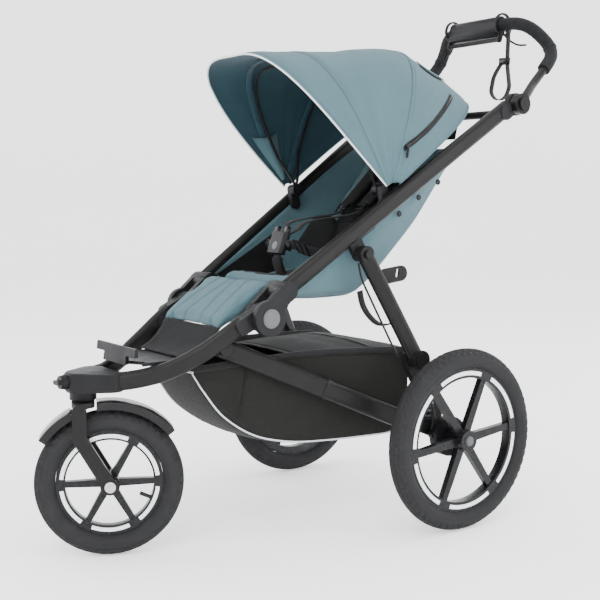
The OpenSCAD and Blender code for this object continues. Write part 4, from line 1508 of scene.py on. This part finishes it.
fine = 1
TURNED = math.radians(-24.7)
FRONT_AXIS = (math.cos(TURNED), math.sin(TURNED), 0)
FRONT_CENTRE = at(-math.sin(TURNED) * 50, -745 + math.cos(TURNED) * 50, 151)
tyre(
    "front_tyre_tread", "front_tyre", "front_wheel", FRONT_CENTRE, FRONT_AXIS, 0.151, 0.025, 0.108,
    400 // fine, 50
)
for s, tag in ((1, "left"), (-1, "right")):
    tyre(
        "rear_tyre_tread_" + tag, "rear_tyre_" + tag, "wheel_" + tag, at(316 * s, 0, 200), (s, 0, 0),
        0.200, 0.0235, 0.158, 520 // fine, 65
    )

# ---------------------------------------------------------------- wrist strap, straps, cables and small fittings

strap_down = [
    Vector(at(82, 368, 1134)), Vector(at(82, 368, 1112)), Vector(at(83, 366, 1082)),
    Vector(at(86, 363, 1050)), Vector(at(92, 361, 1020)), Vector(at(96, 360, 1000))
]
loop_mid = Vector(at(66, 359, 996))
strap_loop = [
    loop_mid + Vector((0.030 * math.cos(a), -0.001, 0.030 * math.sin(a)))
    for a in [math.radians(-15 - 30 * k) for k in range(6)]
]
strap_up = [
    Vector(at(37, 360, 1002)), Vector(at(42, 361, 1024)), Vector(at(54, 362, 1042)),
    Vector(at(66, 363, 1056))
]
wrist_line = curve(strap_down + strap_loop + strap_up, 2)
wrist = loft("wrist_strap_webbing", wrist_line, strap_section(0.014, 0.0024), (0, 1, 0), "webbing")
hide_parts("wrist_strap")
keeper = loft(
    "wrist_strap_keeper",
    [Vector(at(75, 363.4, 1052)), Vector(at(75, 363.6, 1060)), Vector(at(75.5, 363.8, 1069))],
    strap_section(0.036, 0.0068), (1, 0, -0.1), "gloss"
)
tab = loft(
    "wrist_strap_anchor",
    [Vector(at(82, 368, 1146)), Vector(at(82, 368, 1138)), Vector(at(82, 368, 1130))],
    strap_section(0.019, 0.006), (0, 1, 0), "gloss"
)
for o in (wrist, keeper, tab):
    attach(o, "handle")

# webbing from the seat tubes to the rear legs
LEG_ROUTE = [
    (214, -110, 455), (200, -118, 449), (180, -126, 450), (162, -134, 464), (151, -141, 482),
    (147, -146, 500), (146, -150, 521)
]
for s, tag in ((1, "left"), (-1, "right")):
    route = [Vector(at(x * s, y, z)) for x, y, z in LEG_ROUTE]
    o = strap("leg_strap_" + tag, route, 0.016, 0.003, (0, 1, 0.1))
    if s == 1:
        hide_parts("leg_straps")
    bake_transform(o)
    # three round snaps that hold the seat's cloth to the tube
    for k, (y, z) in enumerate(((-70, 690), (-18, 726), (34, 760))):
        c = Vector(at(s * (tube_inner(y) - 0.5), y, z))
        o = turned(
            f"snap_{tag}_{k}",
            [
                (0.0, 0.0004), (0.0, 0.0052), (0.0012, 0.0068), (0.0030, 0.0066), (0.0042, 0.0048),
                (0.0034, 0.0026), (0.0036, 0.0004)
            ],
            c, (s, 0, 0), "gloss", 24
        )
        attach(o, "upper_frame")
    # rubber collar at the foam grip's end, beside the knuckle
    for k, (p, q) in enumerate(((at(192, 397, 1082), at(178, 394, 1104)),)):
        p, q = Vector(p), Vector(q)
        d = (q - p).normalized()
        p = Vector((p.x * s, p.y, p.z))
        d = Vector((d.x * s, d.y, d.z))
        o = turned(
            f"grip_collar_{tag}",
            [
                (-0.004, 0.0104), (-0.004, 0.0158), (-0.002, 0.0168), (0.004, 0.0168), (0.006, 0.0158),
                (0.006, 0.0104)
            ],
            p, d, "rubber", 36
        )
        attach(o, "handle")
paint("handle_grip", "foam", edges=0)

# sheath of the brake cable, from the console's end to the bar
for s, tag in ((1, "left"), (-1, "right")):
    x0 = 64 if s == 1 else -112
    route = [
        Vector(at(x0, 372, 1128)), Vector(at(x0 + 14 * s, 378, 1112)),
        Vector(at(x0 + 34 * s, 386, 1100)), Vector(at(x0 + 56 * s, 392, 1098))
    ]
    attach(tube("console_cable_" + tag, route, 0.0025, "sheath", 5, n=10), "handle")

# coils of the rear suspension
for s, tag in ((1, "left"), (-1, "right")):
    turns, r, wire = 5.0, 0.009, 0.0016
    foot, head = Vector(at(246 * s, -29, 241.0)), Vector(at(246 * s, -35, 289.2))
    steps = 150
    line = []
    for k in range(steps + 1):
        t = k / steps
        rise = min(1.0, max(0.0, (t - 0.1) / 0.8))
        a = 2 * math.pi * turns * t
        line.append(foot + (head - foot) * rise + Vector((r * math.cos(a), r * math.sin(a), 0)))
    o = loft("coil_" + tag, line, round_section(wire, 8), (0, 0, 1), "dark_steel")
    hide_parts("spring_" + tag)
    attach(o, "chassis")
    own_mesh(o)

# ---------------------------------------------------------------- floor and light


def stage_floor():
    """One pale sheet: floor that curves up into a backdrop all the way round."""
    verts, faces = [], []
    steps, rings = 96, [
        (0.0, 0.0), (1.5, 0.0), (3.5, 0.0), (5.0, 0.0), (6.2, 0.12), (7.3, 0.7), (8.0, 1.9), (8.2, 3.6),
        (8.2, 6.0)
    ]
    for r, z in rings:
        verts += [
            (r * math.cos(2 * math.pi * i / steps), r * math.sin(2 * math.pi * i / steps), z)
            for i in range(steps)
        ]
    for k in range(len(rings) - 1):
        for i in range(steps):
            j = (i + 1) % steps
            faces.append((k * steps + i, k * steps + j, (k + 1) * steps + j, (k + 1) * steps + i))
    me = bpy.data.meshes.new("floor")
    me.from_pydata(verts, [], faces)
    me.polygons.foreach_set("use_smooth", [True] * len(me.polygons))
    g = Graph("pale_floor")
    g.set(
        Base_Color=g.ramp(g.noise(3.0, 3.0), [(0.3, (0.93, 0.93, 0.93)), (0.7, (0.95, 0.95, 0.95))]),
        Roughness=0.75, Specular_IOR_Level=0.2, Emission_Color=(1.0, 1.0, 1.0, 1.0),
        Emission_Strength=0.55
    )
    me.materials.append(g.mat)
    o = bpy.data.objects.new("floor", me)
    bpy.context.scene.collection.objects.link(o)


def lamp(name, place, aim, size, power):
    data = bpy.data.lights.new(name, "AREA")
    data.shape = "RECTANGLE"
    data.size, data.size_y = size
    data.energy = power
    o = bpy.data.objects.new(name, data)
    bpy.context.scene.collection.objects.link(o)
    o.location = place
    o.rotation_mode = "QUATERNION"
    o.rotation_quaternion = (Vector(aim) - Vector(place)).to_track_quat("-Z", "Y")


stage_floor()
lamp("key", (2.6, -2.8, 3.6), (0.0, 0.0, 0.5), (2.6, 2.6), 150.0)
lamp("fill", (-3.2, -2.2, 2.4), (0.0, 0.0, 0.5), (3.0, 3.0), 70.0)
lamp("rear", (0.5, 3.6, 3.0), (0.0, 0.0, 0.6), (3.0, 2.0), 90.0)
lamp("side", (3.4, 1.6, 1.6), (0.0, 0.1, 0.5), (1.6, 2.6), 60.0)
lamp("top", (0.0, 0.0, 4.6), (0.0, 0.0, 0.0), (3.4, 3.4), 90.0)
world = bpy.data.worlds.new("studio")
world.use_nodes = True
world.node_tree.nodes["Background"].inputs[0].default_value = (0.95, 0.97, 1.0, 1.0)
world.node_tree.nodes["Background"].inputs[1].default_value = 1.45
bpy.context.scene.world = world
